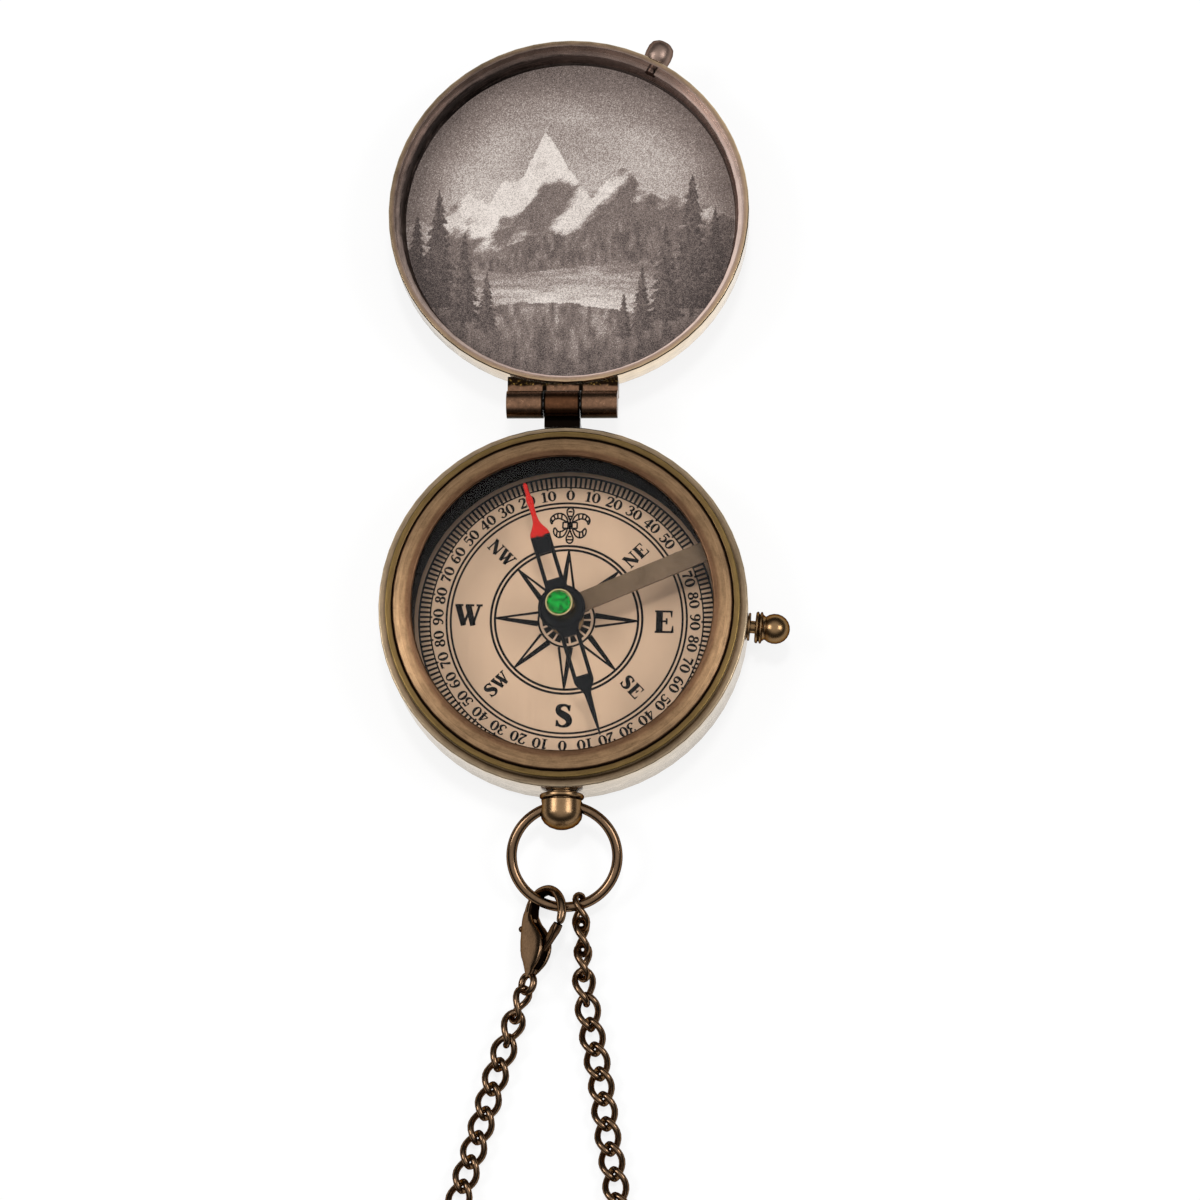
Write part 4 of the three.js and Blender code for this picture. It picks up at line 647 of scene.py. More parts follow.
def clear_glass():
    """Flat window glass: clear, with a faint reflection. Rays from the lamps pass it, so the dial is lit."""
    material, tree, shader = new_material("window_glass", Roughness=0.0, Transmission_Weight=1.0, IOR=1.2)
    through = node(tree, "BsdfTransparent")
    lamps = node(tree, "LightPath").outputs["Is Shadow Ray"]
    both = node(tree, "MixShader", {0: lamps, 1: shader, 2: through})
    feed(tree, tree.nodes["Material Output"], {"Surface": both})
    return material


def etched_plate(light, dark):
    """Brass plate etched by a fine raster: pale where the metal is frosted, brown where it is left, and
    broken up everywhere by the raster's grain. The tone is the plate's own attribute."""
    material, tree, shader = new_material("etched_brass", Metallic=0.25)
    coords = node(tree, "TexCoord").outputs["Object"]
    tone = node(tree, "Attribute", attribute_name="tone", attribute_type="GEOMETRY").outputs["Fac"]
    grain = node(tree, "TexNoise", {"Vector": coords, "Scale": per_mm(0.13), "Detail": 1.0, "Roughness": 0.8})
    spread = node(tree, "MapRange", {0: grain, 1: 0.3, 2: 0.7, 3: -0.26, 4: 0.26}, clamp=False)
    level = node(tree, "Math", {0: tone, 1: spread}, operation="ADD", use_clamp=True)
    ramp = node(tree, "ValToRGB", {0: level})
    stops = ramp.color_ramp.elements
    stops[0].color, stops[1].color = dark, light
    stops.new(0.5).color = linear("#84756E")
    dull = node(tree, "MapRange", {0: level, 3: 0.42, 4: 0.7})
    feed(tree, shader, {"Base Color": ramp, "Roughness": dull})
    return material


# ---------------------------------------------------------------------------
# Studio


def turn_about(axis, angle):
    """A turn about one axis, as a 3 x 3 array."""
    return np.array(Matrix.Rotation(angle, 3, axis))


def add_camera():
    """The camera at the photograph's place: rolled, then tilted, then panned from straight down."""
    data = bpy.data.cameras.new("camera")
    data.sensor_width = SENSOR_WIDTH
    data.lens = CAMERA_LENS
    data.clip_start, data.clip_end = CAMERA_CLIP
    camera = add_object("camera", data)
    turn = turn_about("Z", CAMERA_ROLL) @ turn_about("X", CAMERA_TILT) @ turn_about("Y", CAMERA_PAN)
    place = Matrix.Translation([c * MM for c in CAMERA_PLACE])
    camera.matrix_world = place @ Matrix(turn.tolist()).to_4x4()
    bpy.context.scene.camera = camera


def add_lamp(name, place, target, size, power, mirrored):
    """A square softbox. The glass lets its light through by shadow rays alone, so other rays there miss it,
    and one that isn't mirrored stays out of the metal's reflections."""
    data = bpy.data.lights.new(name, "AREA")
    data.shape = "SQUARE"
    data.size = size
    data.energy = power
    lamp = add_object(name, data)
    lamp.visible_transmission = False
    lamp.visible_glossy = mirrored
    lamp.location = place
    lamp.rotation_euler = Vector(np.subtract(target, place)).to_track_quat("-Z", "Y").to_euler()


def add_sky():
    """A studio sky, bright overhead and dark at the sides."""
    world = bpy.data.worlds.new("studio")
    world.use_nodes = True
    bpy.context.scene.world = world
    tree = world.node_tree
    rise = node(tree, "SeparateXYZ", {0: node(tree, "TexCoord").outputs["Generated"]}).outputs[2]
    low, high = SKY_RISE
    level = node(
        tree, "MapRange", {0: rise, 1: low, 2: high, 3: 0.05, 4: 0.95}, interpolation_type="SMOOTHSTEP"
    )
    feed(tree, tree.nodes["Background"], {"Color": level})


def add_floor():
    """White paper. Seen, mirrored or through glass it is mostly plain white, and it keeps shadows."""
    paper, tree, shader = new_material(
        "white_paper", Base_Color=linear("#FBFBFB"), Roughness=0.9, Specular_IOR_Level=0.1
    )
    path = node(tree, "LightPath").outputs
    seen = node(tree, "Math", {0: path["Is Camera Ray"], 1: path["Is Glossy Ray"]}, operation="ADD")
    seen = node(tree, "Math", {0: seen, 1: path["Is Transmission Ray"]}, operation="ADD", use_clamp=True)
    share = node(tree, "Math", {0: seen, 1: FLOOR_GLOW}, operation="MULTIPLY")
    white = node(tree, "Emission", {"Color": (1, 1, 1, 1), "Strength": 1.0})
    both = node(tree, "MixShader", {0: share, 1: shader, 2: white})
    feed(tree, tree.nodes["Material Output"], {"Surface": both})
    mesh = bpy.data.meshes.new("floor")
    ways = ((-1, -1), (1, -1), (1, 1), (-1, 1))
    corners = [(x * FLOOR_REACH, y * FLOOR_REACH, FLOOR_LEVEL) for x, y in ways]
    mesh.from_pydata(corners, [], [(0, 1, 2, 3)])
    mesh.materials.append(paper)
    add_object("floor", mesh)


class COMPASS_OT_stage(bpy.types.Operator):
    """Make the camera, the white floor and the soft studio light"""

    bl_idname = "compass.stage"
    bl_label = "Stage"

    def execute(self, context):
        context.scene.view_settings.view_transform = "Standard"
        add_camera()
        add_sky()
        for lamp in LAMPS:
            add_lamp(*lamp)
        add_floor()
        return {"FINISHED"}


# ---------------------------------------------------------------------------
# Chain


def smooth_route(points, samples=24):
    """A smooth line through points: cubic stretches whose end slopes come from the neighbours, weighted by
    the square roots of the chords."""
    p = np.asarray(points, float)
    p = np.vstack([2 * p[0] - p[1], p, 2 * p[-1] - p[-2]])
    step = np.sqrt(np.linalg.norm(np.diff(p, axis=0), axis=1))[:, None]
    first, second, third = step[:-2], step[1:-1], step[2:]
    a, b, c, d = p[:-3], p[1:-2], p[2:-1], p[3:]
    slope_b = second * ((b - a) / first - (c - a) / (first + second) + (c - b) / second)
    slope_c = second * ((c - b) / second - (d - b) / (second + third) + (d - c) / third)
    t = np.linspace(0, 1, samples, endpoint=False)[None, :, None]
    b, c, slope_b, slope_c = (x[:, None, :] for x in (b, c, slope_b, slope_c))
    cubic = (
        (2 * t**3 - 3 * t**2 + 1) * b + (t**3 - 2 * t**2 + t) * slope_b
        + (3 * t**2 - 2 * t**3) * c + (t**3 - t**2) * slope_c
    )
    return np.vstack([cubic.reshape(-1, p.shape[1]), p[-2:-1]])


def coil_points():
    """The put-away coil: a circle whose radius shrinks and then grows again over one and a half turns, and
    which climbs one layer as it turns back out."""
    angle = np.arange(COIL_START, COIL_END + 1, COIL_STEP)
    middle = (COIL_START + COIL_END) / 2
    radius = COIL_RADIUS - COIL_PITCH * (middle - COIL_START - np.abs(angle - middle)) / 360
    height = COIL_LOW + COIL_PITCH * smooth_step(angle, 360, 540)
    turn = np.radians(angle)
    return np.stack([COIL_X + radius * np.cos(turn), COIL_Y + radius * np.sin(turn), height], 1)


def chain_line():
    """The whole chain's line, from the bow ring round the coil to the clasp, and the distances along it."""
    line = smooth_route([
        BOW_END, *RIGHT_ROUTE, *reversed(LEAD_OUT), *coil_points()[::-1], *reversed(LEAD_IN),
        *reversed(LEFT_ROUTE), CLASP_END,
    ])
    along = np.concatenate([[0], np.cumsum(np.linalg.norm(np.diff(line, axis=0), axis=1))])
    return line, along


def points_along(line, along, distances):
    """Points of a line at the distances along it."""
    return np.stack([np.interp(distances, along, line[:, k]) for k in range(3)], 1)


def link_places(along, sizes):
    """Distances of the link centres along the line, and each link's roll: the links turn from on edge at
    both fastenings to flat."""
    reach = sizes.link_length / 2 - sizes.link_wire
    first, last = FIRST_LINK, along[-1] - reach
    count = round((last - first) / sizes.link_pitch) + 1
    rolls = np.zeros(count)
    rolls[: len(BOW_ROLLS)] = BOW_ROLLS
    rolls[-len(CLASP_ROLLS) :] = CLASP_ROLLS
    return np.linspace(first, last, count), np.radians(rolls)


def curb_links(line, along, sizes, around=28, section=10):
    """Curb links: an oval of wire, whose plane twists one way at its far end and the other way at its near
    end, carried as a round tube and set at every place along the line."""
    places, rolls = link_places(along, sizes)
    centre = points_along(line, along, places)
    ahead = points_along(line, along, places + LINK_SIGHT)
    forward = unit(ahead - points_along(line, along, places - LINK_SIGHT))
    side = unit(np.cross((0, 0, 1), forward))
    up = np.cross(forward, side)
    c, s = np.cos(rolls)[:, None], np.sin(rolls)[:, None]
    side, up = c * side + s * up, c * up - s * side

    half_length = sizes.link_length / 2 - sizes.link_wire
    half_width = sizes.link_width / 2 - sizes.link_wire

    def oval(t):
        twist = -math.radians(sizes.link_twist) * np.cos(t)
        across = half_width * np.sin(t)
        return np.stack([half_length * np.cos(t), across * np.cos(twist), across * np.sin(twist)], -1)

    t = round_angles(around)
    middle = oval(t)
    tangent = unit(oval(t + 0.01) - oval(t - 0.01))
    outward = unit(middle - (middle * tangent).sum(1)[:, None] * tangent)
    other = np.cross(tangent, outward)
    ring = round_angles(section)[None, :, None]
    round_wire = np.cos(ring) * outward[:, None] + np.sin(ring) * other[:, None]
    tube = (middle[:, None] + sizes.link_wire * round_wire).reshape(-1, 3)
    points = (
        centre[:, None] + tube[None, :, 0:1] * forward[:, None]
        + tube[None, :, 1:2] * side[:, None] + tube[None, :, 2:3] * up[:, None]
    )
    faces = grid_faces(around, section, True, True)
    starts = np.arange(len(centre)) * len(tube)
    return points.reshape(-1, 3), (faces[None] + starts[:, None, None]).reshape(-1, 4)


def shaped_bar(stations, place=CLASP_PLACE, axes=CLASP_AXES, around=28):
    """A bar of the clasp or needle: a rounded rectangle, the power curve of its half-width and
    half-thickness, carried along a line in the piece's plane and closed by strips across its ends."""
    run = smooth_route(stations, 8)
    line = run[:, :2]
    half, middle, thick, square = (run[:, k : k + 1] for k in range(2, 6))
    forward = unit(np.gradient(line, axis=0))
    right = np.stack([forward[:, 1], -forward[:, 0]], 1)
    t = round_angles(around) + FULL_TURN / around / 2
    across = half * np.sign(np.cos(t)) * np.abs(np.cos(t)) ** (2 / square)
    through = middle + thick * np.sign(np.sin(t)) * np.abs(np.sin(t)) ** (2 / square)
    flat = line[:, None] + across[..., None] * right[:, None]
    points = np.concatenate([flat, through[..., None]], -1).reshape(-1, 3)
    k = np.arange(around // 2 - 1)
    cap = np.stack([k, k + 1, around - 2 - k, around - 1 - k], 1)
    faces = [grid_faces(len(run), around, False, True), cap, cap[:, ::-1] + around * (len(run) - 1)]
    return place + points @ axes, np.vstack(faces)


def ring_tube(centre, first, second, radius, wire, lift=1.0, around=96, section=20):
    """A ring of wire: a circle carried round a circle in the plane of two unit vectors. The lift stretches
    the wire's section off that plane."""
    t = round_angles(around)[:, None, None]
    s = round_angles(section)[None, :, None]
    outward = np.cos(t) * first + np.sin(t) * second
    off_plane = lift * wire * np.sin(s) * np.cross(first, second)
    points = centre + (radius + wire * np.cos(s)) * outward + off_plane
    return points.reshape(-1, 3), grid_faces(around, section, True, True)


def round_knob(centre, radius, rows=14, columns=24):
    """A ball: circles of latitude from pole to pole, whose end circles shrink to a point."""
    t = np.linspace(0, math.pi, rows)[:, None]
    s = round_angles(columns)[None]
    points = np.stack([np.sin(t) * np.cos(s), np.sin(t) * np.sin(s), np.cos(t) + 0 * s], -1)
    return centre + radius * points.reshape(-1, 3), grid_faces(rows, columns, False, True)


def bow_tube(wire, radius):
    """The bow ring's tube, in the plane of its CAD solid, slightly oval as it was bent."""
    corners = np.zeros(3 * len(NODES["bow_ring"].data.vertices))
    NODES["bow_ring"].data.vertices.foreach_get("co", corners)
    corners = corners.reshape(-1, 3) / MM
    centre = (corners.min(0) + corners.max(0)) / 2
    normal = np.linalg.svd(corners - centre, full_matrices=False)[2][2]
    first = unit(np.array((1, 0, 0)) - normal[0] * normal)
    second = np.cross(normal, first)
    wide, long = BOW_OVAL
    return ring_tube(centre + BOW_SHIFT, wide * first, long * second, radius, wire)


class COMPASS_OT_chain(bpy.types.Operator):
    """Lay the curb chain from the bow ring round its coil to the clasp"""

    bl_idname = "compass.chain"
    bl_label = "Chain"

    def execute(self, context):
        sizes = context.scene.compass_sizes
        brass = plain_brass("antiqued_chain_brass", "#755D47", rough=0.18)
        # Near-black brass whose bars paint the shadow inside the hook and between the cheeks
        dark = plain_brass("clasp_painted_shadow", "#1A110B", contrast=0.8)
        gate_brass = plain_brass("darkened_gate_brass", "#54402F", rough=0.2)
        line, along = chain_line()
        links = [n for n in NODES if n.startswith("chain_link") or n == "chain_coil"]
        chain = new_piece("chain_links", curb_links(line, along, sizes), brass, "chain", links)
        back_cheek = np.array(CLASP_CHEEK) * (1, 1, 1, -1, 1, 1)
        tail = ring_tube(CLASP_PLACE, CLASP_AXES[0], CLASP_AXES[1], *TAIL_RING, around=40, section=16)
        parts = [shaped_bar(bar) for bar in (CLASP_CHEEK, back_cheek, CLASP_TAIL, CLASP_HOOK)]
        clasp = new_piece(
            "clasp_body_cast", joined([*parts, tail]), brass, "chain",
            ["clasp_body", "clasp_rivet"],
        )
        parts = [shaped_bar(bar) for bar in (CLASP_INSIDE_SHADOW, CLASP_FLOOR_SHADOW)]
        inside = new_piece("clasp_inside_shadow", joined(parts), dark, "chain")
        knob = round_knob(CLASP_PLACE + np.array(TAB_KNOB) @ CLASP_AXES, TAB_KNOB_RADIUS)
        parts = [shaped_bar(CLASP_GATE), shaped_bar(CLASP_TAB), knob]
        gate = new_piece(
            "clasp_gate_cast", joined(parts), gate_brass, "clasp_gate", ["clasp_gate"]
        )
        spring = NODES["clasp_spring"]
        painted(spring.data, drawn_steel())
        bow = bow_tube(sizes.bow_wire, sizes.bow_radius)
        new_piece("bow_ring_wire", bow, brass, "bow", ["bow_ring"])
        return {"FINISHED"}


# ---------------------------------------------------------------------------
# Dial print: every mark is a ribbon, a line with a half-width at each point, in dial mm with north up

# A letter one unit high: its width, its strokes as points (across, up, half-width), and its closed ovals as
# middle, half-sizes, and least and greatest half-width
STROKES = {
    "0": (0.78, [], [(0.39, 0.5, 0.28, 0.45, 0.045, 0.11)]),
    "1": (0.62, [
        [(0.34, 0.02, 0.1), (0.34, 0.98, 0.1)], [(0.08, 0.8, 0.03), (0.3, 0.94, 0.07)],
        [(0.08, 0.03, 0.035), (0.6, 0.03, 0.035)]
    ], []),
    "2": (0.74, [
        [(0.1, 0.7, 0.08), (0.16, 0.9, 0.06), (0.36, 0.96, 0.05), (0.58, 0.86, 0.09), (0.6, 0.68, 0.1),
         (0.42, 0.4, 0.07), (0.1, 0.06, 0.04)],
        [(0.08, 0.08, 0.08), (0.66, 0.08, 0.08)], [(0.66, 0.06, 0.05), (0.7, 0.28, 0.025)]
    ], []),
    "3": (0.72, [
        [(0.12, 0.76, 0.07), (0.2, 0.93, 0.05), (0.4, 0.96, 0.05), (0.56, 0.83, 0.09), (0.52, 0.64, 0.08),
         (0.3, 0.54, 0.04)],
        [(0.3, 0.54, 0.04), (0.54, 0.47, 0.07), (0.62, 0.26, 0.1), (0.46, 0.06, 0.06), (0.22, 0.04, 0.05),
         (0.1, 0.2, 0.08)]
    ], []),
    "4": (0.78, [
        [(0.52, 0.96, 0.04), (0.06, 0.3, 0.04)], [(0.04, 0.28, 0.045), (0.76, 0.28, 0.045)],
        [(0.53, 0.98, 0.1), (0.53, 0.02, 0.1)], [(0.34, 0.03, 0.03), (0.72, 0.03, 0.03)]
    ], []),
    "5": (0.72, [
        [(0.18, 0.9, 0.08), (0.64, 0.9, 0.07)], [(0.18, 0.94, 0.035), (0.14, 0.52, 0.035)],
        [(0.14, 0.5, 0.035), (0.32, 0.6, 0.045), (0.55, 0.52, 0.08), (0.62, 0.3, 0.1), (0.46, 0.07, 0.06),
         (0.22, 0.04, 0.05), (0.1, 0.18, 0.08)]
    ], []),
    "6": (0.76, [
        [(0.62, 0.88, 0.06), (0.42, 0.96, 0.05), (0.2, 0.72, 0.08), (0.14, 0.36, 0.1)]
    ], [(0.38, 0.3, 0.24, 0.25, 0.045, 0.1)]),
    "7": (0.72, [
        [(0.1, 0.88, 0.09), (0.66, 0.88, 0.09)], [(0.1, 0.95, 0.035), (0.07, 0.68, 0.025)],
        [(0.66, 0.86, 0.04), (0.46, 0.52, 0.07), (0.34, 0.02, 0.1)]
    ], []),
    "8": (0.74, [], [(0.37, 0.745, 0.2, 0.205, 0.045, 0.09), (0.37, 0.27, 0.25, 0.23, 0.045, 0.1)]),
    "N": (0.94, [
        [(0.14, 0.02, 0.045), (0.14, 0.98, 0.045)], [(0.12, 0.96, 0.11), (0.78, 0.04, 0.11)],
        [(0.8, 0.04, 0.045), (0.8, 0.98, 0.045)], [(0.0, 0.965, 0.035), (0.24, 0.965, 0.035)],
        [(0.0, 0.035, 0.035), (0.3, 0.035, 0.035)], [(0.64, 0.965, 0.035), (0.96, 0.965, 0.035)]
    ], []),
    "W": (1.2, [
        [(0.14, 0.95, 0.11), (0.4, 0.04, 0.1)], [(0.38, 0.04, 0.045), (0.64, 0.72, 0.05)],
        [(0.58, 0.95, 0.11), (0.82, 0.04, 0.1)], [(0.8, 0.04, 0.045), (1.08, 0.95, 0.045)],
        [(0.0, 0.96, 0.04), (0.36, 0.96, 0.04)], [(0.46, 0.96, 0.04), (0.84, 0.96, 0.04)],
        [(0.94, 0.96, 0.04), (1.22, 0.96, 0.04)]
    ], []),
    "E": (0.88, [
        [(0.26, 0.0, 0.12), (0.26, 1.0, 0.12)], [(0.06, 0.965, 0.035), (0.78, 0.965, 0.035)],
        [(0.78, 1.0, 0.05), (0.8, 0.7, 0.02)], [(0.26, 0.52, 0.035), (0.58, 0.52, 0.035)],
        [(0.58, 0.66, 0.035), (0.58, 0.38, 0.035)], [(0.06, 0.035, 0.04), (0.84, 0.035, 0.04)],
        [(0.83, 0.0, 0.055), (0.86, 0.32, 0.02)]
    ], []),
    "S": (0.76, [
        [(0.64, 0.74, 0.04), (0.56, 0.92, 0.05), (0.38, 0.97, 0.05), (0.18, 0.88, 0.09), (0.17, 0.7, 0.11),
         (0.36, 0.55, 0.13), (0.56, 0.42, 0.13), (0.64, 0.24, 0.11), (0.56, 0.09, 0.08),
         (0.36, 0.02, 0.045), (0.18, 0.08, 0.05), (0.09, 0.28, 0.04)],
        [(0.66, 0.98, 0.035), (0.64, 0.7, 0.025)], [(0.09, 0.02, 0.035), (0.1, 0.3, 0.025)]
    ], []),
}
LETTER_GAP = 0.06
STROKE_GAIN = 1.25
PRINT_SINK = 0.02
# Ring lines as radius and half-width. Spokes as step in degrees, two radii and the half-widths there.
SCALE_RINGS = ((18.76, 0.1), (20.28, 0.13))
DEGREE_BARS = (2, 18.7, 20.3, 0.15, 0.165)
TEN_DOTS = (10, 18.45, 18.8, 0.1, 0.2)
NUMBER_RADIUS, NUMBER_HEIGHT = 16.92, 1.45
LETTER_RINGS = ((16.5, 0.145), (15.92, 0.145))
MAIN_HEIGHT = 3.1
MAIN_WINDS = (("E", 13.3, -0.05), ("W", -13.5, 0.35), ("S", 0.0, -13.45))
SIDE_RADIUS, SIDE_HEIGHT, SIDE_DROP = 13.05, 1.85, 0.92
SIDE_WINDS = (("NW", -45, -1), ("SE", 135, -1), ("NE", 45, 1), ("SW", -135, 1))
STAR_RINGS = ((10.4, 0.165), (9.83, 0.165), (3.85, 0.14))
HUB_TEETH = (20, 2.2, 3.35, 0.26, 0.44)
HUB_RING = (2.2, 0.12)
# A kite of the star as points (along its bearing, off it, half-width)
KITE_FILLED = ((3.9, 0.64, 0.4), (8.3, 0.1, 0.25), (9.85, 0, 0.07))
KITE_OUTLINE = ((3.9, -0.93, 0.18), (9.7, -0.04, 0.13))
# The lily about its own middle: middle petals and bars, then the petals and veins of one side
LILY_PLACE, LILY_LINE = (0.05, 13.35), 0.115
LILY_KNOT, LILY_KNOT_HALF = 0.25, 0.4
LILY_MIDDLE = (
    [(0.0, 2.5), (0.42, 2.2), (0.45, 1.75), (0.2, 1.1), (0.0, 0.75), (-0.2, 1.1), (-0.45, 1.75),
     (-0.42, 2.2)],
    [(0.0, -0.7), (0.22, -1.2), (0.46, -1.75), (0.36, -2.35), (0.0, -2.55), (-0.36, -2.35), (-0.46, -1.75),
     (-0.22, -1.2)],
)
LILY_BARS = (
    [(0.3, 1.95), (-0.3, 1.95)], [(0.24, 1.3), (-0.24, 1.3)], [(0.4, -2.05), (-0.4, -2.05)],
    [(0.25, -1.6), (-0.25, -1.6)], [(-1.0, 0.42), (1.0, 0.42)], [(-1.0, -0.42), (1.0, -0.42)],
    [(0.0, 0.9), (0.0, -0.8)], [(-0.28, 0.42), (-0.28, -0.42)], [(0.28, 0.42), (0.28, -0.42)],
    [(-0.98, 0.45), (-0.98, -0.45)], [(0.98, 0.45), (0.98, -0.45)],
)
LILY_PETALS = (
    [(0.35, 0.5), (0.55, 1.15), (1.1, 1.62), (1.9, 1.62), (2.6, 1.1), (2.72, 0.6), (2.5, 0.18), (2.4, 0.5),
     (2.05, 0.85), (1.5, 0.95), (0.95, 0.75)],
    [(0.4, -0.5), (0.75, -0.6), (1.1, -0.85), (1.6, -0.9), (2.1, -0.4), (2.25, -0.75), (2.1, -1.35),
     (1.5, -1.75), (0.9, -1.55), (0.55, -1.05)],
)
LILY_VEINS = (
    [(1.15, 1.6), (1.2, 0.85)], [(1.75, 1.62), (1.7, 0.95)], [(2.3, 1.35), (2.05, 0.85)],
    [(2.68, 0.9), (2.4, 0.5)], [(1.35, -1.72), (1.35, -0.9)], [(1.85, -1.55), (1.75, -0.8)],
)


def oval_stroke(x, y, width, height, thin, thick, count=28):
    """A closed oval, thick at its sides and thin at its top and bottom."""
    t = round_angles(count)
    half = thin + (thick - thin) * np.cos(t) ** 2
    return np.stack([x + width * np.cos(t), y + height * np.sin(t), half], 1)


def stroke_line(points):
    """A straight stroke as it is, and a smooth line through a stroke of more than two points."""
    return np.array(points) if len(points) == 2 else smooth_route(points, 6)


def letter_strokes(letter):
    """A letter's width and strokes, each (closed, points) with points as an array of x, y and half-width."""
    width, strokes, ovals = STROKES["6" if letter == "9" else letter]
    marks = [(False, stroke_line(points)) for points in strokes]
    marks += [(True, oval_stroke(*oval)) for oval in ovals]
    if letter == "9":
        marks = [(closed, pts * (-1, -1, 1) + (width, 1, 0)) for closed, pts in marks]
    return width, marks


def word_strokes(word, height):
    """A word's strokes, centred across and standing on its base line, at a height in mm."""
    strokes, left = [], 0.0
    for letter in word:
        width, marks = letter_strokes(letter)
        strokes += [(closed, pts + (left, 0, 0)) for closed, pts in marks]
        left += width + LETTER_GAP
    middle = (left - LETTER_GAP) / 2
    growth = (height, height, height * STROKE_GAIN)
    return [(closed, (pts - (middle, 0, 0)) * growth) for closed, pts in strokes]


def placed(strokes, origin, right):
    """Strokes moved to an origin, with their reading direction along a unit vector."""
    right = np.array(right)
    upward = np.array((-right[1], right[0]))
    return [
        (closed, np.hstack([origin + pts[:, :1] * right + pts[:, 1:2] * upward, pts[:, 2:]]))
        for closed, pts in strokes
    ]


def compass_way(azimuth):
    """Unit vector of a bearing, clockwise from north."""
    return np.array([math.sin(math.radians(azimuth)), math.cos(math.radians(azimuth))])


def ring_stroke(radius, half_width, count=240):
    """A closed circle of one width round the dial's middle."""
    t = round_angles(count)
    return True, np.stack([radius * np.sin(t), radius * np.cos(t), np.full(count, half_width)], 1)


def line_stroke(start, end, half_start, half_end):
    """A straight line whose half-width goes from one value to another."""
    return False, np.array([(*start, half_start), (*end, half_end)])


def spoke_strokes(step, start, end, half_start, half_end):
    """Short lines along the radii, one every few degrees, between two distances from the middle."""
    ways = [compass_way(azimuth) for azimuth in range(0, 360, step)]
    return [line_stroke(start * way, end * way, half_start, half_end) for way in ways]


def scale_marks():
    """The degree scale: two ring lines, a bar every two degrees, a dot and a number every ten."""
    marks = [ring_stroke(*ring) for ring in SCALE_RINGS] + spoke_strokes(*DEGREE_BARS)
    dots = spoke_strokes(*TEN_DOTS)
    for degree, dot in zip(range(0, 360, 10), dots):
        way = compass_way(degree)
        number = 90 - abs(90 - degree % 180)
        word = word_strokes(str(number), NUMBER_HEIGHT)
        marks += [dot, *placed(word, NUMBER_RADIUS * way, (way[1], -way[0]))]
    return marks


def letter_marks():
    """The eight winds' letters: the main ones upright, the others along the dial's diagonals."""
    marks = [ring_stroke(*ring) for ring in LETTER_RINGS]
    for letter, x, y in MAIN_WINDS:
        marks += placed(word_strokes(letter, MAIN_HEIGHT), np.array((x, y - MAIN_HEIGHT / 2)), (1, 0))
    slope = math.sqrt(0.5)
    for word, azimuth, rise in SIDE_WINDS:
        right = (slope, rise * slope)
        upward = np.array((-right[1], right[0]))
        foot = SIDE_RADIUS * compass_way(azimuth) - SIDE_DROP * upward
        marks += placed(word_strokes(word, SIDE_HEIGHT), foot, right)
    return marks


def star_marks():
    """The wind star: eight kites from the hub ring to the inner ring, one half of each filled."""
    marks = [ring_stroke(*ring) for ring in STAR_RINGS]
    for azimuth in range(0, 360, 45):
        way, cross = compass_way(azimuth), compass_way(azimuth - 90)
        filled = [(*(reach * way + off * cross), half) for reach, off, half in KITE_FILLED]
        outline = [(*(reach * way + off * cross), half) for reach, off, half in KITE_OUTLINE]
        marks += [(False, np.array(filled)), (False, np.array(outline))]
    return [*marks, *spoke_strokes(*HUB_TEETH), ring_stroke(*HUB_RING)]


def lily_marks():
    """The north lily: a top petal, two pairs of curled side petals, a waist band and a drop, in outline."""
    shapes = [(True, petal) for petal in LILY_MIDDLE] + [(False, bar) for bar in LILY_BARS]
    for side in (-1, 1):
        shapes += [(True, [(side * x, y) for x, y in petal]) for petal in LILY_PETALS]
        shapes += [(False, [(side * x, y) for x, y in bar]) for bar in LILY_VEINS]
    x, y = LILY_PLACE
    marks = []
    for closed, pts in shapes:
        flat = np.array([(*p, LILY_LINE) for p in pts])
        if closed:
            flat = smooth_route(np.vstack([flat[-1:], flat, flat[:2]]), 5)[5:-6]
        marks.append((closed, flat + (x, y, 0)))
    marks.append(line_stroke((x - LILY_KNOT, y), (x + LILY_KNOT, y), LILY_KNOT_HALF, LILY_KNOT_HALF))
    return marks


def ribbons(marks, low, high, turn):
    """Printed marks as flat slabs: each line is widened to both sides by its half-width, square to its run,
    and carried up from low to high."""
    c, s = math.cos(turn), math.sin(turn)
    parts = []
    for closed, stroke in marks:
        run, half = stroke[:, :2], stroke[:, 2:]
        before = np.roll(run, 1, 0) if closed else np.vstack([2 * run[0] - run[1], run[:-1]])
        after = np.roll(run, -1, 0) if closed else np.vstack([run[1:], 2 * run[-1] - run[-2]])
        forward = unit(after - before)
        offset = np.stack([-forward[:, 1], forward[:, 0]], 1) * half
        edges = [run + offset, run + offset, run - offset, run - offset]
        levels = [high, low, low, high]
        slab = np.stack([np.hstack([e, np.full((len(e), 1), z)]) for e, z in zip(edges, levels)], 1)
        x, y, z = slab.reshape(-1, 3).T
        faces = grid_faces(len(run), 4, closed, True)
        if not closed:
            end = 4 * (len(run) - 1)
            faces = np.vstack([faces, [(0, 1, 2, 3), (end + 3, end + 2, end + 1, end)]])
        parts.append((np.stack([x * c + y * s, y * c - x * s, z], 1), faces))
    return joined(parts)


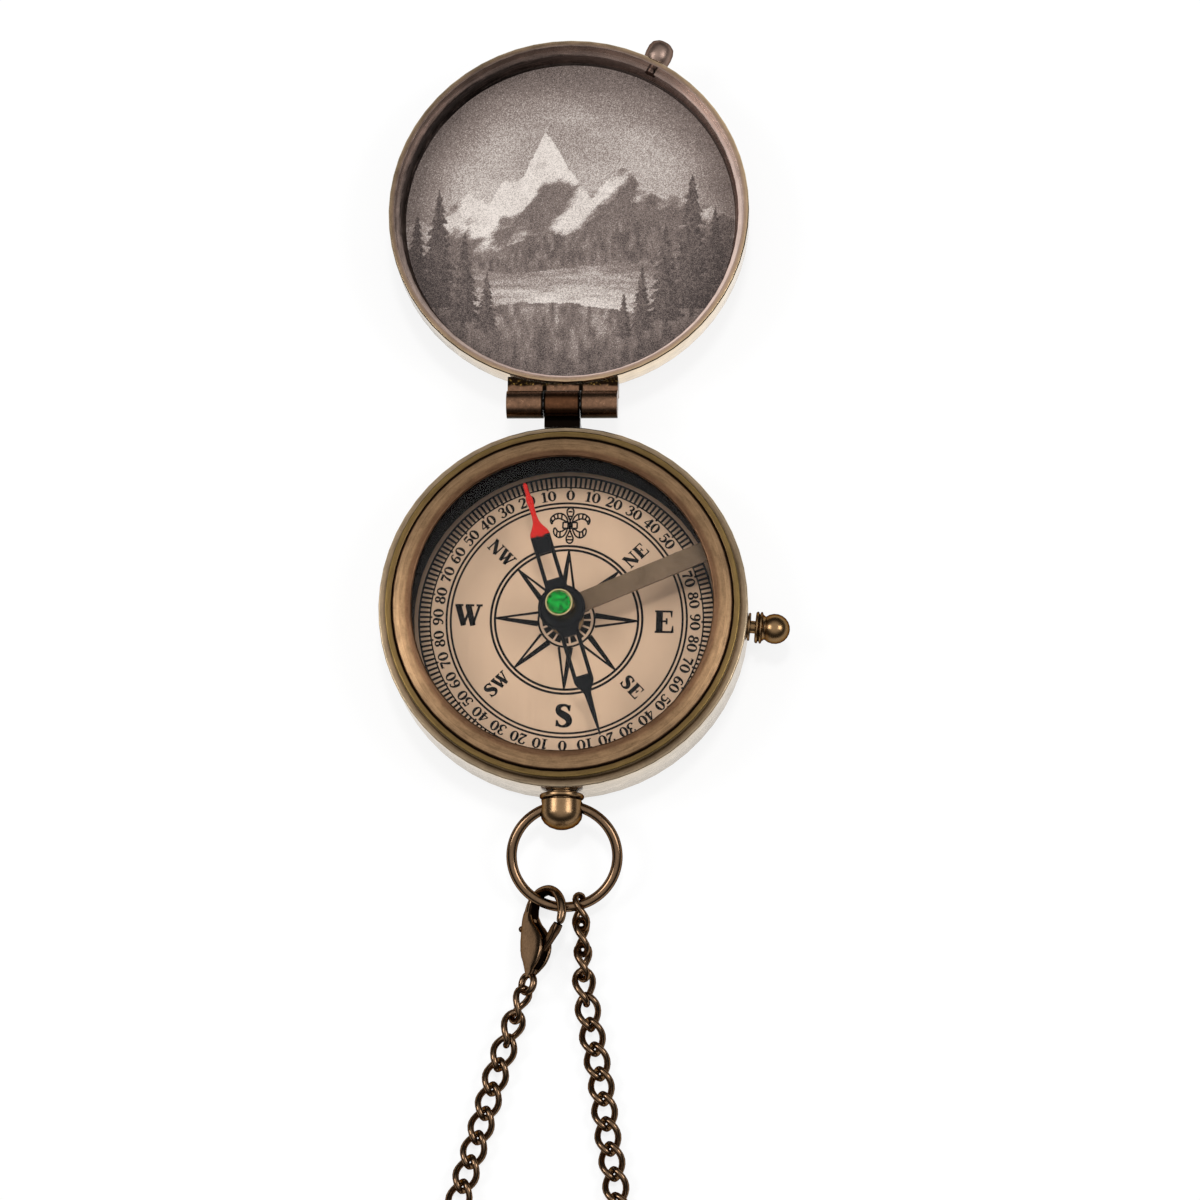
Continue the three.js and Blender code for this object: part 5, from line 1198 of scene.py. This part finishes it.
class COMPASS_OT_dial(bpy.types.Operator):
    """Lacquer the dial and print its scale, letters, star and lily"""

    bl_idname = "compass.dial"
    bl_label = "Dial"

    def execute(self, context):
        sizes, colours = context.scene.compass_sizes, context.scene.compass_colours
        painted(NODES["dial_plate"].data, dial_lacquer(colours.copper))
        ink = printing_ink(colours.ink)
        low, high = DIAL_TOP - PRINT_SINK, DIAL_TOP + sizes.ink_height
        prints = {
            "print_scale": scale_marks(), "print_letters": letter_marks(),
            "print_star": star_marks(), "print_lily": lily_marks(),
        }
        for name, marks in prints.items():
            shape = ribbons(marks, low, high, sizes.dial_turn)
            new_piece(name, shape, ink, "case", smooth=False)
        return {"FINISHED"}


# ---------------------------------------------------------------------------
# Case, glass, needle and stop


class COMPASS_OT_case(bpy.types.Operator):
    """Finish the case, its bezel, sleeve, stud, hinge and glass"""

    bl_idname = "compass.case"
    bl_label = "Case and glass"

    def execute(self, context):
        plain = plain_brass("antiqued_brass_fittings", "#866B4E", rough=0.3, contrast=0.7)
        finishes = {
            "case_shell": aged_brass("antiqued_brass_case", CASE_ZONES, polished=RIM_POLISH),
            "spacer_sleeve": aged_brass(
                "browned_brass_sleeve", SLEEVE_ZONES, edge="#1C110C", contrast=0.8, rough=0.3
            ),
            "bezel_ring": aged_brass("antiqued_brass_bezel", BEZEL_ZONES, contrast=0.6, rough=0.4),
            "case_hinge_leaf": hinge_brass("browned_brass_case_leaf_and_shade", "#5E3E2A"),
            "pendant_stud": plain,
            "knob_bush": plain,
        }
        for name, finish in finishes.items():
            finished_copy(name, finish, context.scene.compass_sizes.bevel)
        steel = drawn_steel()
        coats = {
            "crystal": clear_glass(), "hinge_pin": steel, "lever_pin": steel,
            "lever_bracket": plain, "pivot_post": plain,
        }
        for name, finish in coats.items():
            painted(NODES[name].data, finish)
        return {"FINISHED"}


def leaning_lathe(outline, lean, low, high, around=64):
    """A closed outline turned round the needle's axis, whose centre moves by the lean from low to high."""
    outline = np.array(outline)
    t = round_angles(around)[:, None]
    share = smooth_step(outline[:, 1], low, high)
    x = outline[:, 0] * np.cos(t) + lean[0] * share
    y = outline[:, 0] * np.sin(t) + lean[1] * share
    points = np.stack([x, y, outline[:, 1] + 0 * t], -1).reshape(-1, 3)
    return points, grid_faces(around, len(outline), True, True)


def faceted_stone(around=12):
    """A cut stone: rings of corners, each turned by half a step against the last, up to a flat table, and
    a flat underside."""
    rows = np.array(STONE_ROWS)
    t = (np.arange(around)[None] + rows[:, 2:]) * FULL_TURN / around
    rings = np.stack([rows[:, :1] * np.cos(t), rows[:, :1] * np.sin(t), rows[:, 1:2] + 0 * t], -1)
    points = rings.reshape(-1, 3) + (*CAP_LEAN, 0)
    index = np.arange(points.shape[0]).reshape(len(rows), around)
    ahead = np.roll(index, -1, 1)
    faces = []
    for k in range(len(rows) - 1):
        lower, lower_next, upper, upper_next = index[k], ahead[k], index[k + 1], ahead[k + 1]
        if rows[k + 1, 2] >= rows[k, 2] and rows[k + 1, 2] > 0:
            faces += [np.stack([lower, lower_next, upper], 1), np.stack([lower_next, upper_next, upper], 1)]
        else:
            faces += [np.stack([lower, upper_next, upper], 1), np.stack([lower, lower_next, upper_next], 1)]
    triangles = np.vstack(faces).tolist()
    return points, [*triangles, index[-1].tolist(), index[0, ::-1].tolist()]


def needle_parts():
    """The needle: flat bars for its tips and necks, two rails on each side, a thin web between the northern
    ones, and a turned hub."""
    def bar(line, thick=0.3):
        stations = [(0, reach, half, 0, thick, 3.4) for reach, half in line]
        return shaped_bar(stations, NEEDLE_PLACE, NEEDLE_AXES)

    def rail(start, from_side, end, to_side, side):
        stations = [
            (side * (from_side + (to_side - from_side) * k), start + (end - start) * k, 0.28, 0, 0.34, 2.6)
            for k in np.linspace(0, 1, 5)
        ]
        return shaped_bar(stations, NEEDLE_PLACE, NEEDLE_AXES, 20)

    parts = [bar(NORTH_TIP), bar(SOUTH_TIP), bar(NECKS[:4]), bar(NECKS[3:]), bar(NORTH_WEB, thick=0.16)]
    parts += [rail(*ends, side) for ends in RAILS for side in (-1, 1)]
    return joined([*parts, leaning_lathe(HUB_OUTLINE, HUB_LEAN, *HUB_RISE)])


class COMPASS_OT_needle(bpy.types.Operator):
    """Finish the needle, its cap and its stone"""

    bl_idname = "compass.needle"
    bl_label = "Needle"

    def execute(self, context):
        colours = context.scene.compass_colours
        steel = needle_steel(colours.needle_black, colours.needle_red)
        new_piece("needle_arm_cast", needle_parts(), steel, "needle", ["needle_arm"])
        cup = leaning_lathe(CAP_OUTLINE, CAP_LEAN, *CAP_RISE)
        gilt = gilt_brass(colours.gilt)
        new_piece("needle_cap_cup", cup, gilt, "needle", ["needle_cap"])
        green = green_glass(colours.stone)
        stone = faceted_stone()
        new_piece("needle_stone", stone, green, "needle", ["needle_jewel"], smooth=False)
        return {"FINISHED"}


class COMPASS_OT_stop(bpy.types.Operator):
    """Finish the stop knob and its lever"""

    bl_idname = "compass.stop"
    bl_label = "Stop"

    def execute(self, context):
        brass = plain_brass("antiqued_brass_stop", "#8A6E4E", rough=0.26, contrast=0.6)
        strip = aged_brass("rolled_brass_lever", LEVER_ZONES, rough=0.38, contrast=0.9, turned=0.0)
        finished_copy("stop_knob", brass, STOP_BEVEL)
        finished_copy("stop_lever", strip, STOP_BEVEL)
        painted(NODES["knob_clip"].data, drawn_steel())
        return {"FINISHED"}


# ---------------------------------------------------------------------------
# Lid


def lattice_noise(x, y, seed):
    """Random values on a unit lattice, blended smoothly between the corners."""
    table = np.random.default_rng(seed).random((64, 64))
    cell_x, cell_y = np.floor(x).astype(int), np.floor(y).astype(int)
    u, v = x - cell_x, y - cell_y
    u, v = u * u * (3 - 2 * u), v * v * (3 - 2 * v)
    left, right, low, high = cell_x % 64, (cell_x + 1) % 64, cell_y % 64, (cell_y + 1) % 64
    bottom = table[left, low] * (1 - u) + table[right, low] * u
    top = table[left, high] * (1 - u) + table[right, high] * u
    return bottom * (1 - v) + top * v


def cloud_noise(x, y, seed, octaves=5):
    """Lattice noise added up, each octave twice as fine and half as strong."""
    levels = [lattice_noise(x * 2**k, y * 2**k, seed + k) / 2**k for k in range(octaves)]
    return sum(levels) / (2 - 2.0 ** (1 - octaves))


PEAKS = ((-0.16, 0.52, 1.25), (0.30, 0.36, 1.0), (-0.62, 0.20, 0.8), (0.72, 0.18, 0.7))
PINES = (
    (-0.80, -0.60, 0.80), (-0.64, -0.68, 0.62), (-0.93, -0.50, 0.55), (-0.50, -0.72, 0.40),
    (0.74, -0.62, 0.92), (0.58, -0.68, 0.66), (0.88, -0.52, 0.60), (0.44, -0.73, 0.44), (0.33, -0.76, 0.30),
)


def landscape_tone(x, y):
    """Tones of a mountain lake, from 0 dark to 1 pale, on a disc of radius 1: a clouded sky, tent-shaped
    peaks with snow on their lit sides, wooded hills, a rippled lake, and pines in steps of boughs."""
    tone = 0.42 + 0.30 * cloud_noise(x * 2.2 + 5, y * 4.5 + 9, 11) + 0.10 * (1 - y)
    rough = cloud_noise(x * 7 + 20, y * 0 + 3, 23) - 0.5
    ridge = np.max([h - s * np.abs(x - px) for px, h, s in PEAKS], axis=0) + 0.22 * rough
    rock = cloud_noise(x * 9 + y * 5 + 40, y * 9 - x * 4 + 40, 31)
    lit = cloud_noise(x * 5 - y * 4 + 30, y * 6 + 30, 37)
    snow = smooth_step(lit * 0.75 + (y - ridge) * 0.55 + 0.10 - x * 0.10, 0.28, 0.42)
    peak = 0.20 + 0.26 * rock + 0.56 * snow
    tone = np.where(y < ridge, peak, tone)
    hills = -0.14 + 0.11 * np.sin(x * 3.1 + 0.6) + 0.16 * (cloud_noise(x * 6 + 9, y * 0 + 7, 41) - 0.5)
    woods = 0.18 + 0.30 * lattice_noise(x * 46 + 70, y * 18 + 70, 47)
    tone = np.where(y < hills, woods, tone)
    shore = -0.30 + 0.03 * np.sin(x * 5)
    ripple = lattice_noise(x * 7 + 80, y * 60 + 80, 53)
    lake = 0.66 + 0.26 * (ripple - 0.5) - 0.22 * smooth_step(y, -0.52, -0.30) + 0.1 * np.cos(3 * x)
    tone = np.where(y < shore, lake, tone)
    bank = -0.60 + 0.08 * np.cos(x * 2.4 + 0.4) + 0.05 * (cloud_noise(x * 9, y * 0 + 1, 59) - 0.5)
    grass = 0.22 + 0.40 * lattice_noise(x * 40 + 90, y * 14 + 90, 61)
    tone = np.where(y < bank, grass, tone)
    for px, base, height in PINES:
        rise = (y - base) / height
        step = rise * 11 - np.floor(rise * 11)
        jag = 0.25 * (lattice_noise(x * 60 + 5, y * 60 + 5, 67) - 0.5)
        spread = 0.21 * height * np.clip(1 - rise, 0, 1) ** 0.85 * (1 - 0.5 * step + jag)
        trunk = 0.014 * (rise < 0.1)
        inside = (rise > 0) & (rise < 1) & (np.abs(x - px) < np.maximum(spread * (rise > 0.06), trunk))
        needles = 0.10 + 0.22 * lattice_noise(x * 70 + 3, y * 50 + 3, 71) + 0.10 * (px - x) / (0.2 * height)
        tone = np.where(inside, needles, tone)
    edge = np.hypot(x, y)
    return np.clip(tone * (1 - 0.45 * smooth_step(edge, 0.62, 1.02)), 0, 1)


def engraved_disc(cells, relief):
    """The lid's plate: a square grid bent to a disc, with the engraving's tone and depth at every point,
    closed by a skirt and a flat back."""
    u, v = np.meshgrid(np.linspace(-1, 1, cells), np.linspace(-1, 1, cells), indexing="ij")
    x, y = u * np.sqrt(1 - v * v / 2), v * np.sqrt(1 - u * u / 2)
    reach = PLATE_RADIUS + PLATE_TUCK
    tone = landscape_tone(x, y)
    depth = relief * (tone - 1) * (np.hypot(x, y) < 0.995)
    top = np.stack([LID_CENTRE[0] + reach * x, LID_CENTRE[1] + reach * y, PLATE_TOP + depth], -1)
    top = top.reshape(-1, 3)
    index = np.arange(cells * cells).reshape(cells, cells)
    rim = np.concatenate([index[:-1, 0], index[-1, :-1], index[:0:-1, -1], index[0, :0:-1]])
    skirt = top[rim] * (1, 1, 0) + (0, 0, PLATE_LOW)
    count, start = len(rim), cells * cells
    ring = np.arange(count)
    wall = np.stack([rim, np.roll(rim, -1), start + np.roll(ring, -1), start + ring], 1)
    faces = [*grid_faces(cells, cells).tolist(), *wall.tolist(), (start + ring).tolist()]
    return np.vstack([top, skirt]), faces, np.concatenate([tone.ravel(), np.full(count, SKIRT_TONE)])


def peg_lathe(around=40):
    """The lid's peg: its outline turned round a line through its seat, leaning from the lid's radius."""
    outline = np.array(PEG_OUTLINE)
    low, high = (corner.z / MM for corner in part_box("lid_peg"))
    out = np.array((math.sin(PEG_WAY), math.cos(PEG_WAY), 0))
    side, up = np.array((out[1], -out[0], 0)), np.array((0, 0, 1))
    t = round_angles(around)[:, None, None]
    radial = np.cos(t) * side + np.sin(t) * up
    seat = np.array((*LID_CENTRE, (low + high) / 2)) + PEG_SEAT
    points = seat + outline[:, 1:] * out + outline[:, :1] * radial
    return points.reshape(-1, 3), grid_faces(around, len(outline), True, False)


class COMPASS_OT_lid(bpy.types.Operator):
    """Finish the lid, its peg and hinge, and engrave its plate"""

    bl_idname = "compass.lid"
    bl_label = "Lid"

    def execute(self, context):
        sizes, colours = context.scene.compass_sizes, context.scene.compass_colours
        # The lid's brass has painted light: paler on its right and lower side, and painted shade at its top
        # and left
        brass = aged_brass(
            "antiqued_brass_lid_painted_light", LID_ZONES, centre=LID_CENTRE, lean=LID_PAINTED_LIGHT_WAY, polished=RIM_POLISH, rough=0.22
        )
        finished_copy("lid_shell", brass, sizes.bevel)
        finished_copy("lid_hinge_leaf", hinge_brass("browned_brass_lid_leaf_and_shade", "#7E5F4A"), sizes.bevel)
        peg = aged_brass(
            "antiqued_brass_peg", PEG_ZONES, centre=LID_CENTRE, rough=0.42, turned=0.0, edge=DARK_EDGE
        )
        new_piece("lid_peg_turned", peg_lathe(), peg, "lid", ["lid_peg"])
        etched = etched_plate(colours.plate_light, colours.plate_dark)
        *disc, tone = engraved_disc(sizes.plate_cells, sizes.relief)
        plate = new_piece("engraved_plate", disc, etched, "lid", ["picture_plate"])
        plate.data.attributes.new("tone", "FLOAT", "POINT").data.foreach_set("value", tone.astype(np.float32))
        return {"FINISHED"}


# ---------------------------------------------------------------------------
# Panel and registration

OPERATORS = (
    COMPASS_OT_stage, COMPASS_OT_chain, COMPASS_OT_case, COMPASS_OT_dial,
    COMPASS_OT_needle, COMPASS_OT_stop, COMPASS_OT_lid,
)


class COMPASS_PT_panel(bpy.types.Panel):
    """Shows the compass's steps, sizes and colours"""

    bl_idname = "COMPASS_PT_panel"
    bl_label = "Compass"
    bl_space_type = "VIEW_3D"
    bl_region_type = "UI"
    bl_category = "Compass"

    def draw(self, context):
        for operator in OPERATORS:
            self.layout.operator(operator.bl_idname)
        for group in (context.scene.compass_sizes, context.scene.compass_colours):
            for key in group.__annotations__:
                self.layout.prop(group, key)


CLASSES = (CompassSizes, CompassColours, *OPERATORS, COMPASS_PT_panel)


def register():
    for each in CLASSES:
        bpy.utils.register_class(each)
    bpy.types.Scene.compass_sizes = PointerProperty(type=CompassSizes)
    bpy.types.Scene.compass_colours = PointerProperty(type=CompassColours)


def unregister():
    del bpy.types.Scene.compass_colours
    del bpy.types.Scene.compass_sizes
    for each in reversed(CLASSES):
        bpy.utils.unregister_class(each)


def main():
    register()
    for operator in OPERATORS:
        group, name = operator.bl_idname.split(".")
        getattr(getattr(bpy.ops, group), name)()


if __name__ == "__main__":
    main()
